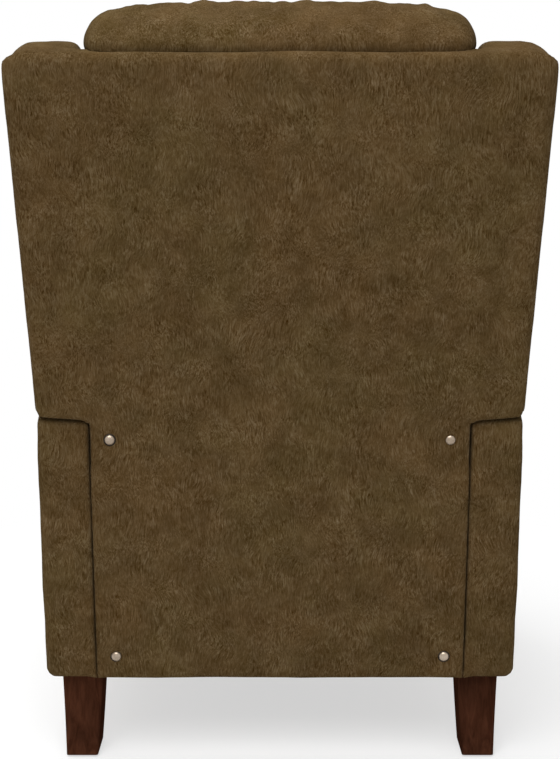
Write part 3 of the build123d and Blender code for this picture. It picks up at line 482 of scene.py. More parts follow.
legWood = {"dark": (0.024, 0.0082, 0.0042), "light": (0.063, 0.0235, 0.0125), "grain": (95, 95, 7)}


def legMaterial():
    mat, tree, shader, coords = startMaterial("espressoStain")
    grain = addNoise(tree, coords, 1.0, 6, 0.65, stretch=legWood["grain"], distort=1.2)
    cloud = addNoise(tree, coords, 14, 3)
    colour = addRamp(tree, grain, [(0.3, legWood["dark"]), (0.7, legWood["light"])])
    shade = addRamp(tree, cloud, [(0.3, (0.75, 0.75, 0.75)), (0.7, (1.2, 1.15, 1.1))])
    wire(tree, shader, {
        "Base Color": addMix(tree, 1.0, colour, shade, "MULTIPLY"),
        "Roughness": addRange(tree, grain, 0.62, 0.5),
        "Specular IOR Level": 0.0,
        "Normal": addBump(tree, grain, 0.12, 0.0006),
    })
    return mat


def timberMaterial(name, pale, deep, stretch):
    mat, tree, shader, coords = startMaterial(name)
    grain = addNoise(tree, coords, 1.0, 7, 0.62, stretch=stretch, distort=1.5)
    blotch = addNoise(tree, coords, 6, 2)
    colour = addRamp(tree, grain, [(0.32, deep), (0.52, pale), (0.75, tuple(c * 1.15 for c in pale))])
    shade = addRamp(tree, blotch, [(0.3, (0.8, 0.78, 0.76)), (0.7, (1.05, 1.05, 1.05))])
    wire(tree, shader, {
        "Base Color": addMix(tree, 1.0, colour, shade, "MULTIPLY"),
        "Roughness": addRange(tree, grain, 0.8, 0.66),
        "Normal": addBump(tree, grain, 0.3, 0.0008),
    })
    return mat


def metalMaterial(name, dark, light, metallic, rough, pits):
    mat, tree, shader, coords = startMaterial(name)
    worn = addNoise(tree, coords, 55, 6, 0.7)
    fine = addNoise(tree, coords, pits, 3, 0.6)
    wire(tree, shader, {
        "Base Color": addRamp(tree, worn, [(0.3, dark), (0.7, light)]),
        "Roughness": addRange(tree, worn, *rough),
        "Metallic": metallic,
        "Normal": addBump(tree, fine, 0.12, 0.0004),
    })
    return mat


webbing = {"across": 120, "along": 60, "dark": (0.012, 0.011, 0.010), "light": (0.055, 0.05, 0.046)}


def webbingMaterial():
    mat, tree, shader, coords = startMaterial("elasticWebbing")
    threads = []
    for way, scale in (("X", webbing["across"]), ("Z", webbing["along"])):
        w = addNode(tree, "ShaderNodeTexWave", {"Scale": scale, "Distortion": 0.4, "Vector": coords})
        w.bands_direction = way
        threads.append(w.outputs["Color"])
    weave = addMix(tree, 0.5, *threads)
    wire(tree, shader, {
        "Base Color": addRamp(tree, weave, [(0.2, webbing["dark"]), (0.8, webbing["light"])]),
        "Roughness": addRange(tree, addNoise(tree, coords, 300), 0.95, 0.8),
        "Normal": addBump(tree, weave, 0.5, 0.001),
    })
    return mat


finishes = {
    "upholstery": suedeMaterial(),
    "leg_wood": legMaterial(),
    "frame_wood": timberMaterial("sawnHardwood", (0.48, 0.30, 0.14), (0.30, 0.165, 0.07), (60, 9, 60)),
    "plywood": timberMaterial("plywood", (0.53, 0.355, 0.175), (0.36, 0.215, 0.10), (26, 9, 70)),
    "mechanism_steel": metalMaterial(
        "blackPaintedSteel", (0.010, 0.010, 0.011), (0.026, 0.026, 0.028), 0.0, (0.36, 0.52), 700),
    "fastener": metalMaterial(
        "zincPlate", (0.34, 0.34, 0.33), (0.62, 0.62, 0.60), 1.0, (0.42, 0.26), 900),
    "spring_steel": metalMaterial(
        "springSteel", (0.06, 0.06, 0.065), (0.2, 0.2, 0.21), 1.0, (0.5, 0.34), 800),
    "webbing": webbingMaterial(),
    "nail": metalMaterial(
        "antiqueNail", (0.24, 0.18, 0.125), (0.50, 0.42, 0.34), 1.0, (0.42, 0.28), 500),
    "glide": metalMaterial(
        "glidePlastic", (0.018, 0.017, 0.016), (0.03, 0.028, 0.026), 0.0, (0.6, 0.5), 600),
}
# a near-black ring under each nail head: painted shadow that the head casts on the cover
nailShadowMat = metalMaterial("paintedNailShadow", (0.012, 0.009, 0.006), (0.035, 0.026, 0.018), 0.6, (0.6, 0.5), 500)
for part in frame["record"]["subparts"]:
    node = frame["nodes"][part["node"]]
    node.data.materials.clear()
    node.data.materials.append(finishes[part["material_slot"]])
print("finishes on", len(frame["nodes"]), "nodes")

# outside back: one skin over the lower panel, the reclining back and both wings

nails = {
    "x": 0.2380,
    "heights": (0.153, 0.481),
    "radius": 0.0075,
    "dome": 0.0042,
    # size of the dark ring under each head, which paints the head's shadow on the cover
    "rim": 1.15,
    "collar": 0.0012,
    "sides": 28,
    "rings": 16,
    "sink": 0.0030,
    "pull": 0.0047,  # how deep a nail draws the cover in
    "spread": 0.012,
}
outsideBack = {
    "run": (-0.42, 0.53),
    "bend": 0.03,
    "lowerHalf": 0.2662,
    "sideReach": 0.2664,
    "sideTop": -0.012,
    "foot": -0.3995,
    "footCut": 0.003,
    "overlap": 0.04,
    "slit": 0.0036,
    "slitDip": (-0.0115, -0.0062),
    "slitCut": 0.006,
    "slitBand": 0.003,
    "slitSlope": 0.395,
    "slitRound": 0.005,
    "thick": 0.020,
    "sideRound": 0.015,
    "topRound": 0.017,
    "topBand": 0.012,
    "seamRound": 0.005,
    "frontRound": 0.002,
    "sharp": 0.0005,
    "cornerCut": 0.030,
    "topSink": 0.006,
    "topFloor": 0.4996,
    "voxel": 0.0055,
    "relax": 5,
    "crown": 0.0035,
    "crownRun": (-0.02, 0.52),
    "rumple": 0.0011,
    "footCorner": {"deep": 0.004, "size": 0.007, "pull": (0.004, 0.0, -0.0025)},
    "ledge": {
        "half": 0.2637,
        "low": 0.46,
        "top": 0.505,
        "cut": 0.002,
        "rear": 0.012,
        "front": 0.062,
        "round": 0.008,
        "roundBand": 0.005,
        "sharp": 0.001,
        "sinkFrom": 0.48,
        "sinkFront": 0.07,
    },
    "flap": {"in": 0.250, "out": 0.2765, "top": -0.080, "sink": 0.0065, "round": 0.002},
    "wing": {
        "in": 0.264,
        "inRound": 0.014,
        "outRound": 0.031,
        "least": 0.001,
        "foot": (0.016, 0.012),
        "front": 0.160,
        "noseCut": 0.075,
        "kneeOut": 0.005,
        "kneeUp": 0.045,
        "toeOut": 0.001,
        "toeCut": 0.026,
        "notchGap": 0.004,
        "ringGap": 0.0035,
        "ringBand": 0.012,
        "ringShare": 0.10,
        "arcAt": (0.2, 0.4, 0.6, 0.8),
        "arcCut": 0.012,
        "slack": 0.002,
        "slackFrom": (0.262, 0.03),
    },
    # from where to where each change of the cover fades
    "fade": {
        "slitUp": (0.012, 0.06),
        "slitIn": (0.2622, 0.2685),
        "slitLow": (-0.06, -0.02),
        "slitTurn": (0.015, 0.04),
        "sinkDeep": (0.002, 0.05),
        "sinkTop": (0.44, 0.49),
        "sinkSide": (0.261, 0.2655),
        "rear": (0.004, 0.014),
        "rim": (0.0, 0.03),
        "wingRim": (0.012, 0.045),
        "wingCrest": (0.015, 0.08),
    },
}


def backProfile():
    # the rear face as one line that bends softly from the lower to the upper lean
    low, up, bend = shell["leanLow"], shell["leanUp"], outsideBack["bend"]
    step = 0.001
    s = np.arange(*outsideBack["run"], step)
    angle = low + (up - low) * smoothStep(-bend, bend, s)
    y = np.cumsum(np.sin(angle)) * step
    z = np.cumsum(np.cos(angle)) * step
    k = np.argmin(np.abs(s + bend))
    y += shell["stepY"] - bend * math.sin(low) - y[k]
    z += shell["stepZ"] - bend * math.cos(low) - z[k]
    return s, y, z, angle


profileS, profileY, profileZ, profileA = backProfile()


def slitLift(x):
    # how far the slit between arm and back lies off the arc, from the inside to the outside
    inner, outer = outsideBack["slitDip"]
    return inner + (outer - inner) * np.clip((x - shell["armIn"]) / (shell["half"] - shell["armIn"]), 0, 1)


def onBack(x, s, d):
    a = np.interp(s, profileS, profileA)
    y = np.interp(s, profileS, profileY) - d * math.cos(a)
    z = np.interp(s, profileS, profileZ) + d * math.sin(a)
    return x, y, z


def nailSpots(sink):
    return [(x, rearY(z) - sink, z) for x in (nails["x"], -nails["x"]) for z in nails["heights"]]


def backSlabs():
    # the lower panel, the reclining back and the roll along its top
    q, ledge = outsideBack, outsideBack["ledge"]
    low, length = q["lowerHalf"], shell["length"]
    rim, top = halfWidth(q["slit"]), halfWidth(length)
    join = q["slit"] + q["overlap"]
    path = roundedPath([
        (low, q["foot"], q["footCut"]),
        (low, join, 0),
        (-low, join, 0),
        (-low, q["foot"], q["footCut"]),
    ])
    rads = np.where(path[:, 1] > join - 0.001, q["sharp"], q["seamRound"])
    lower = softSlab(path, 0.0, q["thick"], rads, q["frontRound"], onBack)

    path = roundedPath([
        (rim, q["slit"], q["slitCut"]),
        (top, length, q["cornerCut"]),
        (-top, length, q["cornerCut"]),
        (-rim, q["slit"], q["slitCut"]),
    ])
    x, s = np.abs(path[:, 0]), path[:, 1]
    onSlit = s < q["slit"] + q["slitBand"]
    overPanel = x < low + q["slitBand"]
    rads = np.where(onSlit, q["slitRound"], q["sideRound"])
    rads = np.where(s > length - q["topBand"], q["topRound"], rads)
    rads[onSlit & overPanel] = q["sharp"]
    slope = np.where(onSlit & ~overPanel, q["slitSlope"], 0.0)
    upper = softSlab(path, 0.0, q["thick"], rads, q["frontRound"], onBack, slope)

    path = roundedPath([
        (-ledge["half"], ledge["low"], 0),
        (ledge["half"], ledge["low"], 0),
        (ledge["half"], ledge["top"], ledge["cut"]),
        (-ledge["half"], ledge["top"], ledge["cut"]),
    ])
    rads = np.where(path[:, 1] > ledge["top"] - ledge["roundBand"], ledge["round"], ledge["sharp"])
    roll = softSlab(path, ledge["rear"], ledge["front"], ledge["sharp"], rads, onBack)
    return [lower, upper, roll]


def flapSlab(side):
    # a flap behind the seam closes the groove between panel and arm
    q, flap = outsideBack, outsideBack["flap"]
    corners = (
        (flap["in"], q["foot"]),
        (flap["out"], q["foot"]),
        (flap["out"], flap["top"]),
        (flap["in"], flap["top"]),
    )
    path = roundedPath([(side * x, s, flap["round"]) for x, s in corners])
    deep = q["thick"] - flap["round"]
    return softSlab(path, flap["sink"], deep, flap["round"], flap["round"], onBack)


def wingSlab(side):
    q, wing, fade = outsideBack, outsideBack["wing"], outsideBack["fade"]
    length, high = shell["length"], shell["half"]
    rearFoot = upPoint(*wing["foot"])
    a1 = ringAngle(*rearFoot)
    a0 = ringAngle(notchLow[0] + wing["notchGap"], notchLow[1] + wing["notchGap"])
    arc = [(*ringPoint(a0 + (a1 - a0) * k, wing["ringGap"]), wing["arcCut"]) for k in wing["arcAt"]]
    run = np.array(notchTop) - np.array(notchLow)
    run /= np.linalg.norm(run)
    out = np.array((run[1], -run[0]))
    knee = np.array(notchTop) + out * wing["kneeOut"] + run * wing["kneeUp"]
    toe = np.array(ringPoint(a0, wing["ringGap"])) + out * wing["toeOut"]
    path = roundedPath([
        (*rearFoot, 0),
        (*upPoint(length, wing["foot"][1]), 0),
        (*upPoint(length, wing["front"]), wing["noseCut"]),
        (*knee, wing["noseCut"]),
        (*toe, wing["toeCut"]),
        *arc,
    ])
    t, d = shellCoords(np.column_stack([np.zeros(len(path)), path]))
    r = np.hypot(path[:, 0] - shell["pivot"][0], path[:, 1] - shell["pivot"][1])
    onRing = r < shell["ring"] + wing["ringBand"]
    free = smoothStep(*fade["wingRim"], d) * np.where(onRing, wing["ringShare"], 1)
    inside = wing["inRound"] * free + wing["least"]
    outside = wing["outRound"] * np.maximum(free, 0.02) + wing["least"]
    crest = q["cornerCut"] + (wing["outRound"] - q["cornerCut"]) * smoothStep(*fade["wingCrest"], d)
    outside = np.where(t > length - 0.002, np.maximum(crest, outside), outside)

    def place(y, z, c):
        # the outer face leans out with the back's flare
        up = (y - shell["stepY"]) * math.sin(shell["leanUp"])
        up += (z - shell["stepZ"]) * math.cos(shell["leanUp"])
        k = (c - wing["in"]) / (high - wing["in"])
        return side * (wing["in"] + k * (halfWidth(up) - wing["in"])), y, z

    return softSlab(path, wing["in"], high, inside, outside, place)


def makeOutsideBack():
    q, fade = outsideBack, outsideBack["fade"]
    ledge, flap, wing, foot = q["ledge"], q["flap"], q["wing"], q["footCorner"]
    slabs = backSlabs()
    for side in (1, -1):
        slabs += [flapSlab(side), wingSlab(side)]
    obj = skin("outsideBack", slabs, q["voxel"], q["relax"])
    co, no = getVerts(obj), getNormals(obj)
    t, d = shellCoords(co)
    x = np.abs(co[:, 0])
    # slit over each arm climbs to the outside
    yz = co[:, 1:] - np.array(shell["pivot"])
    r = np.linalg.norm(yz, axis=1)
    lift = slitLift(x) * (1 - smoothStep(*fade["slitUp"], r - shell["ring"]))
    lift *= smoothStep(*fade["slitIn"], x) * smoothStep(*fade["slitLow"], t)
    along = np.array((math.sin(shell["leanUp"]), math.cos(shell["leanUp"])))
    way = yz / r[:, None]
    way = way + (along - way) * (1 - smoothStep(*fade["slitTurn"], d))[:, None]
    co[:, 1:] += way * lift[:, None]
    # the top between the wings sinks a little towards the cushion
    sink = q["topSink"] * smoothStep(*fade["sinkDeep"], d) * smoothStep(*fade["sinkTop"], t)
    sink *= 1 - smoothStep(*fade["sinkSide"], x)
    over = (d > ledge["rear"]) & (d < ledge["sinkFront"]) & (t > ledge["sinkFrom"]) & (x < ledge["half"])
    sink = np.where(over, np.minimum(sink, np.maximum(t - q["topFloor"], 0)), sink)
    co[:, 1:] -= along * sink[:, None]
    # crown and slack of the stretched cover
    rear = 1 - smoothStep(*fade["rear"], d)
    wide = np.where(t > 0, halfWidth(np.maximum(t, 0)), q["lowerHalf"])
    across = np.clip(1 - (x / wide) ** 2, 0, 1)
    move = q["crown"] * across * hump(t, *q["crownRun"]) * rear
    move += q["rumple"] * rumple(co, 9.0, 1) * smoothStep(*fade["rim"], wide - x)
    onWing = (x > wing["slackFrom"][0]) & (d > wing["slackFrom"][1])
    move += np.where(onWing, wing["slack"] * rumple(co, 14.0, 2), 0)
    co += no * move[:, None]
    # the nails pull the cover in
    for spot in nailSpots(0.0):
        gap = np.linalg.norm(co - np.array(spot), axis=1)
        pull = nails["pull"] * bell(gap / nails["spread"])
        co -= no * pull[:, None]
    # square lower corners beside the legs
    for side in (1, -1):
        corner = onBack(side * q["sideReach"], q["foot"], foot["deep"])
        squareCorner(co, corner, foot["size"], (side * foot["pull"][0], *foot["pull"][1:]))
    # the lower panel stays between the arms, and only its flaps reach behind them
    low = t < q["sideTop"]
    onFlap = (d > flap["sink"] - flap["round"]) & (t < flap["top"] + 2 * flap["round"])
    reach = np.where(onFlap, flap["out"], q["sideReach"])[low]
    co[low, 0] = np.clip(co[low, 0], -reach, reach)
    co[:, 2] = np.maximum(co[:, 2], onBack(0, q["foot"], 0)[2])
    setVerts(obj, co)
    dress(obj)
    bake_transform(obj)
    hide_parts("lower_back_panel", "outside_back_cover", "wing_cover_left", "wing_cover_right")
    return obj


outsideBackObj = makeOutsideBack()
print("outside back:", len(outsideBackObj.data.polygons), "faces")

# arms

arm = {
    "in": 0.2670,
    "out": 0.3415,
    "clear": 0.2667,
    "front": -0.440,
    "top": 0.620,
    "cut": {
        "top": 0.055,
        "toe": 0.010,
        "heel": 0.004,
        "step": 0.005,
        "arc": 0.012,
        "notchLow": 0.030,
        "notchTop": 0.034,
    },
    "arcAt": (0.15, 0.35, 0.55, 0.78),
    "ringGap": -0.0005,
    "topRound": 0.032,
    "frontRound": 0.022,
    "rearOutRound": 0.011,
    "footRound": 0.013,
    "footInRound": 0.003,
    "seamRound": 0.009,
    "seamTaper": (0.135, 0.18),
    "notchRound": 0.016,
    "edgeRound": 0.004,
    "ringRound": 0.006,
    "inShare": {"top": 0.8, "front": 0.7, "notch": 0.6},
    "band": 0.004,  # a point this close to an edge takes its rounding
    "voxel": 0.0055,
    "relax": 5,
    "climb": 0.022,
    "swell": 0.004,
    "swellRun": (-0.44, 0.55),
    "sideSwell": 0.003,
    "sideRunUp": (0.13, 0.36),
    "sideRunAlong": (-0.44, 0.75),
    "padSeam": 0.543,
    "padBulge": 0.0035,
    "bulgeUp": 0.035,
    "bulgeHalf": 0.03,
    "welt": 0.0035,
    "weltHalf": 0.006,
    "frontSeam": 0.035,
    "frontShare": 0.8,
    "rumple": 0.0009,
    "heelSize": 0.008,
    "heelPull": (-0.0045, 0.0035, -0.0035),
    "footLift": 0.0004,
    "drawIn": 0.0022,
    "drawUp": (0.44, 0.51),
    "drawBack": (0.17, 0.26),
    "drawOut": (0.30, 0.335),
}


def armRadii(path):
    # how much the inner and the outer rim are rounded at each point of the outline
    q, share = arm, arm["inShare"]
    y, z = path[:, 0], path[:, 1]
    r = np.hypot(y - shell["pivot"][0], z - shell["pivot"][1])
    inRad = np.full(len(path), q["edgeRound"])
    outRad = np.full(len(path), q["frontRound"])
    upper = z > q["top"] - 0.03
    inRad[upper], outRad[upper] = q["topRound"] * share["top"], q["topRound"]
    inRad[y < q["front"] + q["band"]] = q["frontRound"] * share["front"]
    rear = y > rearY(z) - q["band"]
    inRad[rear] = q["edgeRound"] + (q["seamRound"] - q["edgeRound"]) * smoothStep(*q["seamTaper"], z[rear])
    outRad[rear] = q["rearOutRound"]
    foot = z < shell["legTop"] + q["band"]
    inRad[foot], outRad[foot] = q["footInRound"], q["footRound"]
    notch = (y > notchTop[0] - 0.03) & (y < notchLow[0] + 0.01)
    notch &= (z > notchLow[1] - 0.01) & (z < q["top"] - 0.02)
    inRad[notch], outRad[notch] = q["notchRound"] * share["notch"], q["notchRound"]
    onRing = (np.abs(r - shell["ring"]) < 0.006) & (y > notchLow[0] + 0.02)
    inRad[onRing], outRad[onRing] = q["edgeRound"], q["ringRound"]
    for k in range(10):  # radii run into each other
        inRad = (np.roll(inRad, 1) + inRad + np.roll(inRad, -1)) / 3
        outRad = (np.roll(outRad, 1) + outRad + np.roll(outRad, -1)) / 3
    return inRad, outRad


def makeArms():
    q, cut = arm, arm["cut"]
    a1 = ringAngle(shell["stepY"], shell["stepZ"])
    a0 = ringAngle(*notchLow)
    arc = [(*ringPoint(a1 + (a0 - a1) * k, q["ringGap"]), cut["arc"]) for k in q["arcAt"]]
    heel = (rearY(shell["legTop"]), shell["legTop"])
    path = roundedPath([
        (q["front"], q["top"], cut["top"]),
        (q["front"], shell["legTop"], cut["toe"]),
        (*heel, cut["heel"]),
        (shell["stepY"], shell["stepZ"], cut["step"]),
        *arc,
        (*notchLow, cut["notchLow"]),
        (*notchTop, cut["notchTop"]),
    ])
    slab = softSlab(path, q["in"], q["out"], *armRadii(path), acrossX)
    obj = skin("armLeft", [slab], q["voxel"], q["relax"])
    co, no = getVerts(obj), getNormals(obj)
    x, y, z = co.T
    # the rear top climbs with the slit
    yz = co[:, 1:] - np.array(shell["pivot"])
    r = np.linalg.norm(yz, axis=1)
    lift = slitLift(x) * bell((r - shell["ring"]) / q["climb"])
    lift[(y < notchLow[0] + 0.02) | (z < 0.42)] = 0
    co[:, 1:] += yz / r[:, None] * lift[:, None]
    # padding swells on the outer face and along the top
    sideFace = smoothStep(0.5, 0.95, no[:, 0])
    swell = hump(z, *q["sideRunUp"]) * hump(y, *q["sideRunAlong"])
    move = q["sideSwell"] * sideFace * swell
    topFace = smoothStep(0.6, 0.95, no[:, 2]) * (z > 0.58)
    move += q["swell"] * topFace * hump(y, *q["swellRun"])
    # seam under the arm pad, all round, and the seam of the front panel
    above = z - q["padSeam"]
    onPad = (y < notchTop[0] + 0.03) & (np.abs(no[:, 2]) < 0.6)
    move -= np.where(onPad, q["welt"] * bell(above / q["weltHalf"]), 0)
    move += np.where(onPad, q["padBulge"] * bell((above - q["bulgeUp"]) / q["bulgeHalf"]), 0)
    onPanel = (np.abs(no[:, 0]) > 0.6) & (z < q["padSeam"])
    behind = y - q["front"] - q["frontSeam"]
    move -= np.where(onPanel, q["welt"] * q["frontShare"] * bell(behind / q["weltHalf"]), 0)
    move += q["rumple"] * rumple(co, 16.0, 4)
    co += no * move[:, None]
    # square corner above the rear leg
    squareCorner(co, (q["in"], *heel), q["heelSize"], q["heelPull"])
    co[:, 2] = np.maximum(co[:, 2], shell["legTop"] - q["footLift"])
    # the outer face draws in a little under the back
    draw = q["drawIn"] * smoothStep(*q["drawUp"], z) * smoothStep(*q["drawBack"], y)
    draw *= smoothStep(*q["drawOut"], x)
    co[:, 0] = np.maximum(co[:, 0] - draw, q["clear"])
    setVerts(obj, co)
    twin = mirrored(obj, "armRight")
    for piece, hand in ((obj, "left"), (twin, "right")):
        dress(piece)
        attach(piece, "base")
        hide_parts(f"arm_cover_{hand}")
    return obj


armObj = makeArms()
print("arms:", len(armObj.data.polygons), "faces each")

# back cushion with its head roll

backCushion = {
    "rows": [
        # t, half width, rear depth, front depth
        (-0.148, 0.226, 0.092, 0.150),
        (-0.110, 0.238, 0.094, 0.176),
        (-0.050, 0.241, 0.098, 0.194),
        (0.010, 0.243, 0.098, 0.203),
        (0.060, 0.247, 0.068, 0.206),
        (0.130, 0.255, 0.066, 0.203),
        (0.240, 0.2595, 0.066, 0.190),
        (0.370, 0.2605, 0.066, 0.193),
        (0.460, 0.2605, 0.066, 0.194),
        (0.490, 0.2605, 0.066, 0.189),
        (0.495, 0.2605, 0.033, 0.187),
        (0.503, 0.2605, 0.0285, 0.185),
        (0.510, 0.2598, 0.0325, 0.182),
        (0.520, 0.2568, 0.0405, 0.176),
        (0.532, 0.2480, 0.0525, 0.166),
        (0.5385, 0.2385, 0.063, 0.160),
        (0.544, 0.2195, 0.076, 0.153),
        (0.548, 0.193, 0.088, 0.146),
        (0.551, 0.155, 0.101, 0.139),
        (0.5535, 0.110, 0.113, 0.133),
    ],
    "around": 72,
    "bodyRings": (0.49, 34),
    "headRings": (0.496, 20),
    "squareFrom": (0.47, 0.495),
    "squareTo": (0.513, 0.540),
    "power": (0.36, 0.62),
    "squarer": (0.12, 0.14),
    "voxel": 0.006,
    "relax": 6,
    "channels": (0.105, 0.315),
    "channelDeep": 0.016,
    "channelHalf": 0.011,
    "bow": (0.010, 0.25),
    "faceFade": (0.1, 0.6),
    "pressure": 4.0,
    "cap": 0.020,
    "gather": 0.0034,
    "gatherAt": 0.016,
    "gatherHalf": 0.014,
    "gatherScale": (62, 9),
    "pucker": 0.0026,
    "puckerFade": (0.522, 0.550),
    "puckerScale": (44, 12),
    "fineShare": 0.6,
    "fineScale": (95, 20),
    "rumple": 0.0012,
    "spreadY": (0.192, 0.216),
    "spreadHalf": 0.2630,
    "spreadTop": 0.2,
    "limit": {"top": 0.2625, "front": 0.2640, "rear": 0.2485, "from": 0.03},
    "head": {
        "widen": 0.002,
        "widenFade": (0.47, 0.50),
        "bins": 60,
        "foot": 0.4985,
        "top": 0.530,
        "middle": 0.1085,
        "side": (0.244, 0.257),
        "splay": 22.0,
    },
}


def cushionLoft():
    # rounded rings up the back, squarer where the head roll meets the top rail
    q, rows = backCushion, np.array(backCushion["rows"])
    angles = np.linspace(0, 2 * np.pi, q["around"], endpoint=False)
    cx, cd = np.cos(angles), np.sin(angles)
    (bodyTop, bodyCount), (headFoot, headCount) = q["bodyRings"], q["headRings"]
    body = np.linspace(rows[0, 0], bodyTop, bodyCount)
    ts = np.concatenate([body, np.linspace(headFoot, rows[-1, 0], headCount)])
    verts = []
    for t in ts:
        half, rear, front = (np.interp(t, rows[:, 0], rows[:, k]) for k in (1, 2, 3))
        square = float(smoothStep(*q["squareFrom"], t) * (1 - smoothStep(*q["squareTo"], t)))
        px, pd = (a - b * square for a, b in zip(q["power"], q["squarer"]))
        x = half * np.sign(cx) * np.abs(cx) ** px
        d = (rear + front) / 2 + (front - rear) / 2 * np.sign(cd) * np.abs(cd) ** pd
        verts += [(a, *upPoint(t, b)) for a, b in zip(x, d)]
    return verts, loftFaces(len(ts), q["around"])


def channelLine(at, x):
    deep, half = backCushion["bow"]
    return at + deep * (x / half) ** 2


def towardSitter(no):
    return -no[:, 1] * math.cos(shell["leanUp"]) + no[:, 2] * math.sin(shell["leanUp"])


def standHead(co, t, d):
    # the rear of the head roll stands square on the top rail
    head = backCushion["head"]
    reach = np.abs(co[:, 0])
    band = np.digitize(reach, np.linspace(0, reach.max() + 1e-6, head["bins"]))
    wall = (t > head["foot"]) & (t < head["top"]) & (d < head["middle"])
    for k in range(1, head["bins"]):
        column = np.nonzero((band == k) & wall)[0]
        if len(column) == 0:
            continue
        deepest = column[np.argmin(d[column])]
        under = column[t[column] < t[deepest]]
        base = d[deepest] - head["splay"] * (t[deepest] - t[under]) ** 2
        out = (base - d[under]) * (1 - smoothStep(*head["side"], reach[under]))
        co[under, 1] -= out * math.cos(shell["leanUp"])
        co[under, 2] += out * math.sin(shell["leanUp"])


def makeBackCushion():
    q, head, limit = backCushion, backCushion["head"], backCushion["limit"]
    rows = np.array(q["rows"])
    obj = skin("backCushion", [cushionLoft()], q["voxel"], q["relax"])
    co, no = getVerts(obj), getNormals(obj)
    t, d = shellCoords(co)
    facing = towardSitter(no)
    front = smoothStep(*q["faceFade"], facing)
    line = np.zeros(len(co))
    for at in q["channels"]:
        line = np.maximum(line, bell((t - channelLine(at, co[:, 0])) / q["channelHalf"]))
    co -= no * (q["channelDeep"] * line * front)[:, None]
    setVerts(obj, co)
    held = np.maximum(1 - smoothStep(-0.7, -0.25, facing), 0.9 * line * front)
    held = np.where(t > 0.50, 0.85 * line, held)
    share = 1 - 0.8 * smoothStep(0.44, 0.51, t)  # the head roll keeps most of its shape
    inflate(obj, np.clip(held, 0, 1), q["pressure"], q["cap"], share)
    relaxMesh(obj, 2)
    finer(obj)
    co, no = getVerts(obj), getNormals(obj)
    t, d = shellCoords(co)
    front = smoothStep(*q["faceFade"], towardSitter(no))
    # gathers either side of the channels and along the crest of the head roll
    move = np.zeros(len(co))
    for at in q["channels"]:
        gap = np.abs(t - channelLine(at, co[:, 0]))
        near = bell((gap - q["gatherAt"]) / q["gatherHalf"])
        wave = folds(co[:, 0], co[:, 2], q["gatherScale"], 3.0 + at * 40)
        move += q["gather"] * wave * near * front
    crest = smoothStep(*q["puckerFade"], t)
    wave = folds(co[:, 0], co[:, 1], q["puckerScale"], 7.0)
    fine = folds(co[:, 0], co[:, 1], q["fineScale"], 11.0)
    move += q["pucker"] * (wave + q["fineShare"] * fine) * crest
    move += q["rumple"] * rumple(co, 13.0, 6)
    co += no * move[:, None]
    co[:, 0] *= 1 + head["widen"] * smoothStep(*head["widenFade"], t)
    t, d = shellCoords(co)
    standHead(co, t, d)
    # its front spreads to the arms ahead of the back brackets
    spread = 1 - smoothStep(*q["spreadY"], co[:, 1])
    wider = q["spreadHalf"] / np.interp(t, rows[:, 0], rows[:, 1]) - 1
    co[:, 0] *= 1 + wider * spread * (t < q["spreadTop"])
    # stays between the wings, off the webbing and inside its own room
    low = np.where(co[:, 1] < q["spreadY"][1], limit["front"], limit["rear"])
    most = np.where(t > limit["from"], limit["top"], low)
    co[:, 0] = np.clip(co[:, 0], -most, most)
    setVerts(obj, co)
    dress(obj)
    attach(obj, "backrest")
    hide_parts("back_cushion")
    return obj


backCushionObj = makeBackCushion()
print("back cushion:", len(backCushionObj.data.polygons), "faces")

# seat cushion and footrest pad

seatCushion = {
    "half": 0.256,
    "front": -0.441,
    "back": 0.130,
    "floor": 0.3705,
    "edge": 0.449,
    "crown": 0.464,
    "crownAt": (-0.05, -0.27),
    "crownCut": 0.08,
    "raise": 0.006,
    "lip": 0.3200,
    "lipBack": -0.4258,
    "lipRound": 0.014,
    "middle": 0.11,
    "cornerDrop": 0.009,
    "sideRound": 0.026,
    "floorRound": 0.008,
    "voxel": 0.006,
    "relax": 4,
    "pressure": 4.0,
    "cap": 0.024,
    "seam": 0.402,
    "seamHalf": 0.0055,
    "seamDeep": 0.004,
    "puff": 0.0022,
    "puffHalf": 0.022,
    "puffScale": (40, 40, 10),
    "rumple": 0.0016,
    "rumpleFade": (0.39, 0.43),
    "mostHalf": 0.2640,
    "mostBack": 0.137,
    "bottom": 0.3694,
    "bottomFrom": -0.424,
}


def levelCorners(obj):
    # the corners of the seat lie a little lower than its middle
    q = seatCushion
    co, no = getVerts(obj), getNormals(obj)
    x, y, z = np.abs(co[:, 0]), co[:, 1], co[:, 2]
    at = np.arange(q["front"], q["back"], q["voxel"])
    ridge = [z[(x < q["middle"]) & (np.abs(y - a) < q["voxel"] * 0.8)].max() for a in at]
    cap = np.interp(y, at, ridge) - q["cornerDrop"] * smoothStep(q["middle"], q["half"], x)
    co[:, 2] = np.where(no[:, 2] > 0.15, np.minimum(z, cap), z)
    setVerts(obj, co)


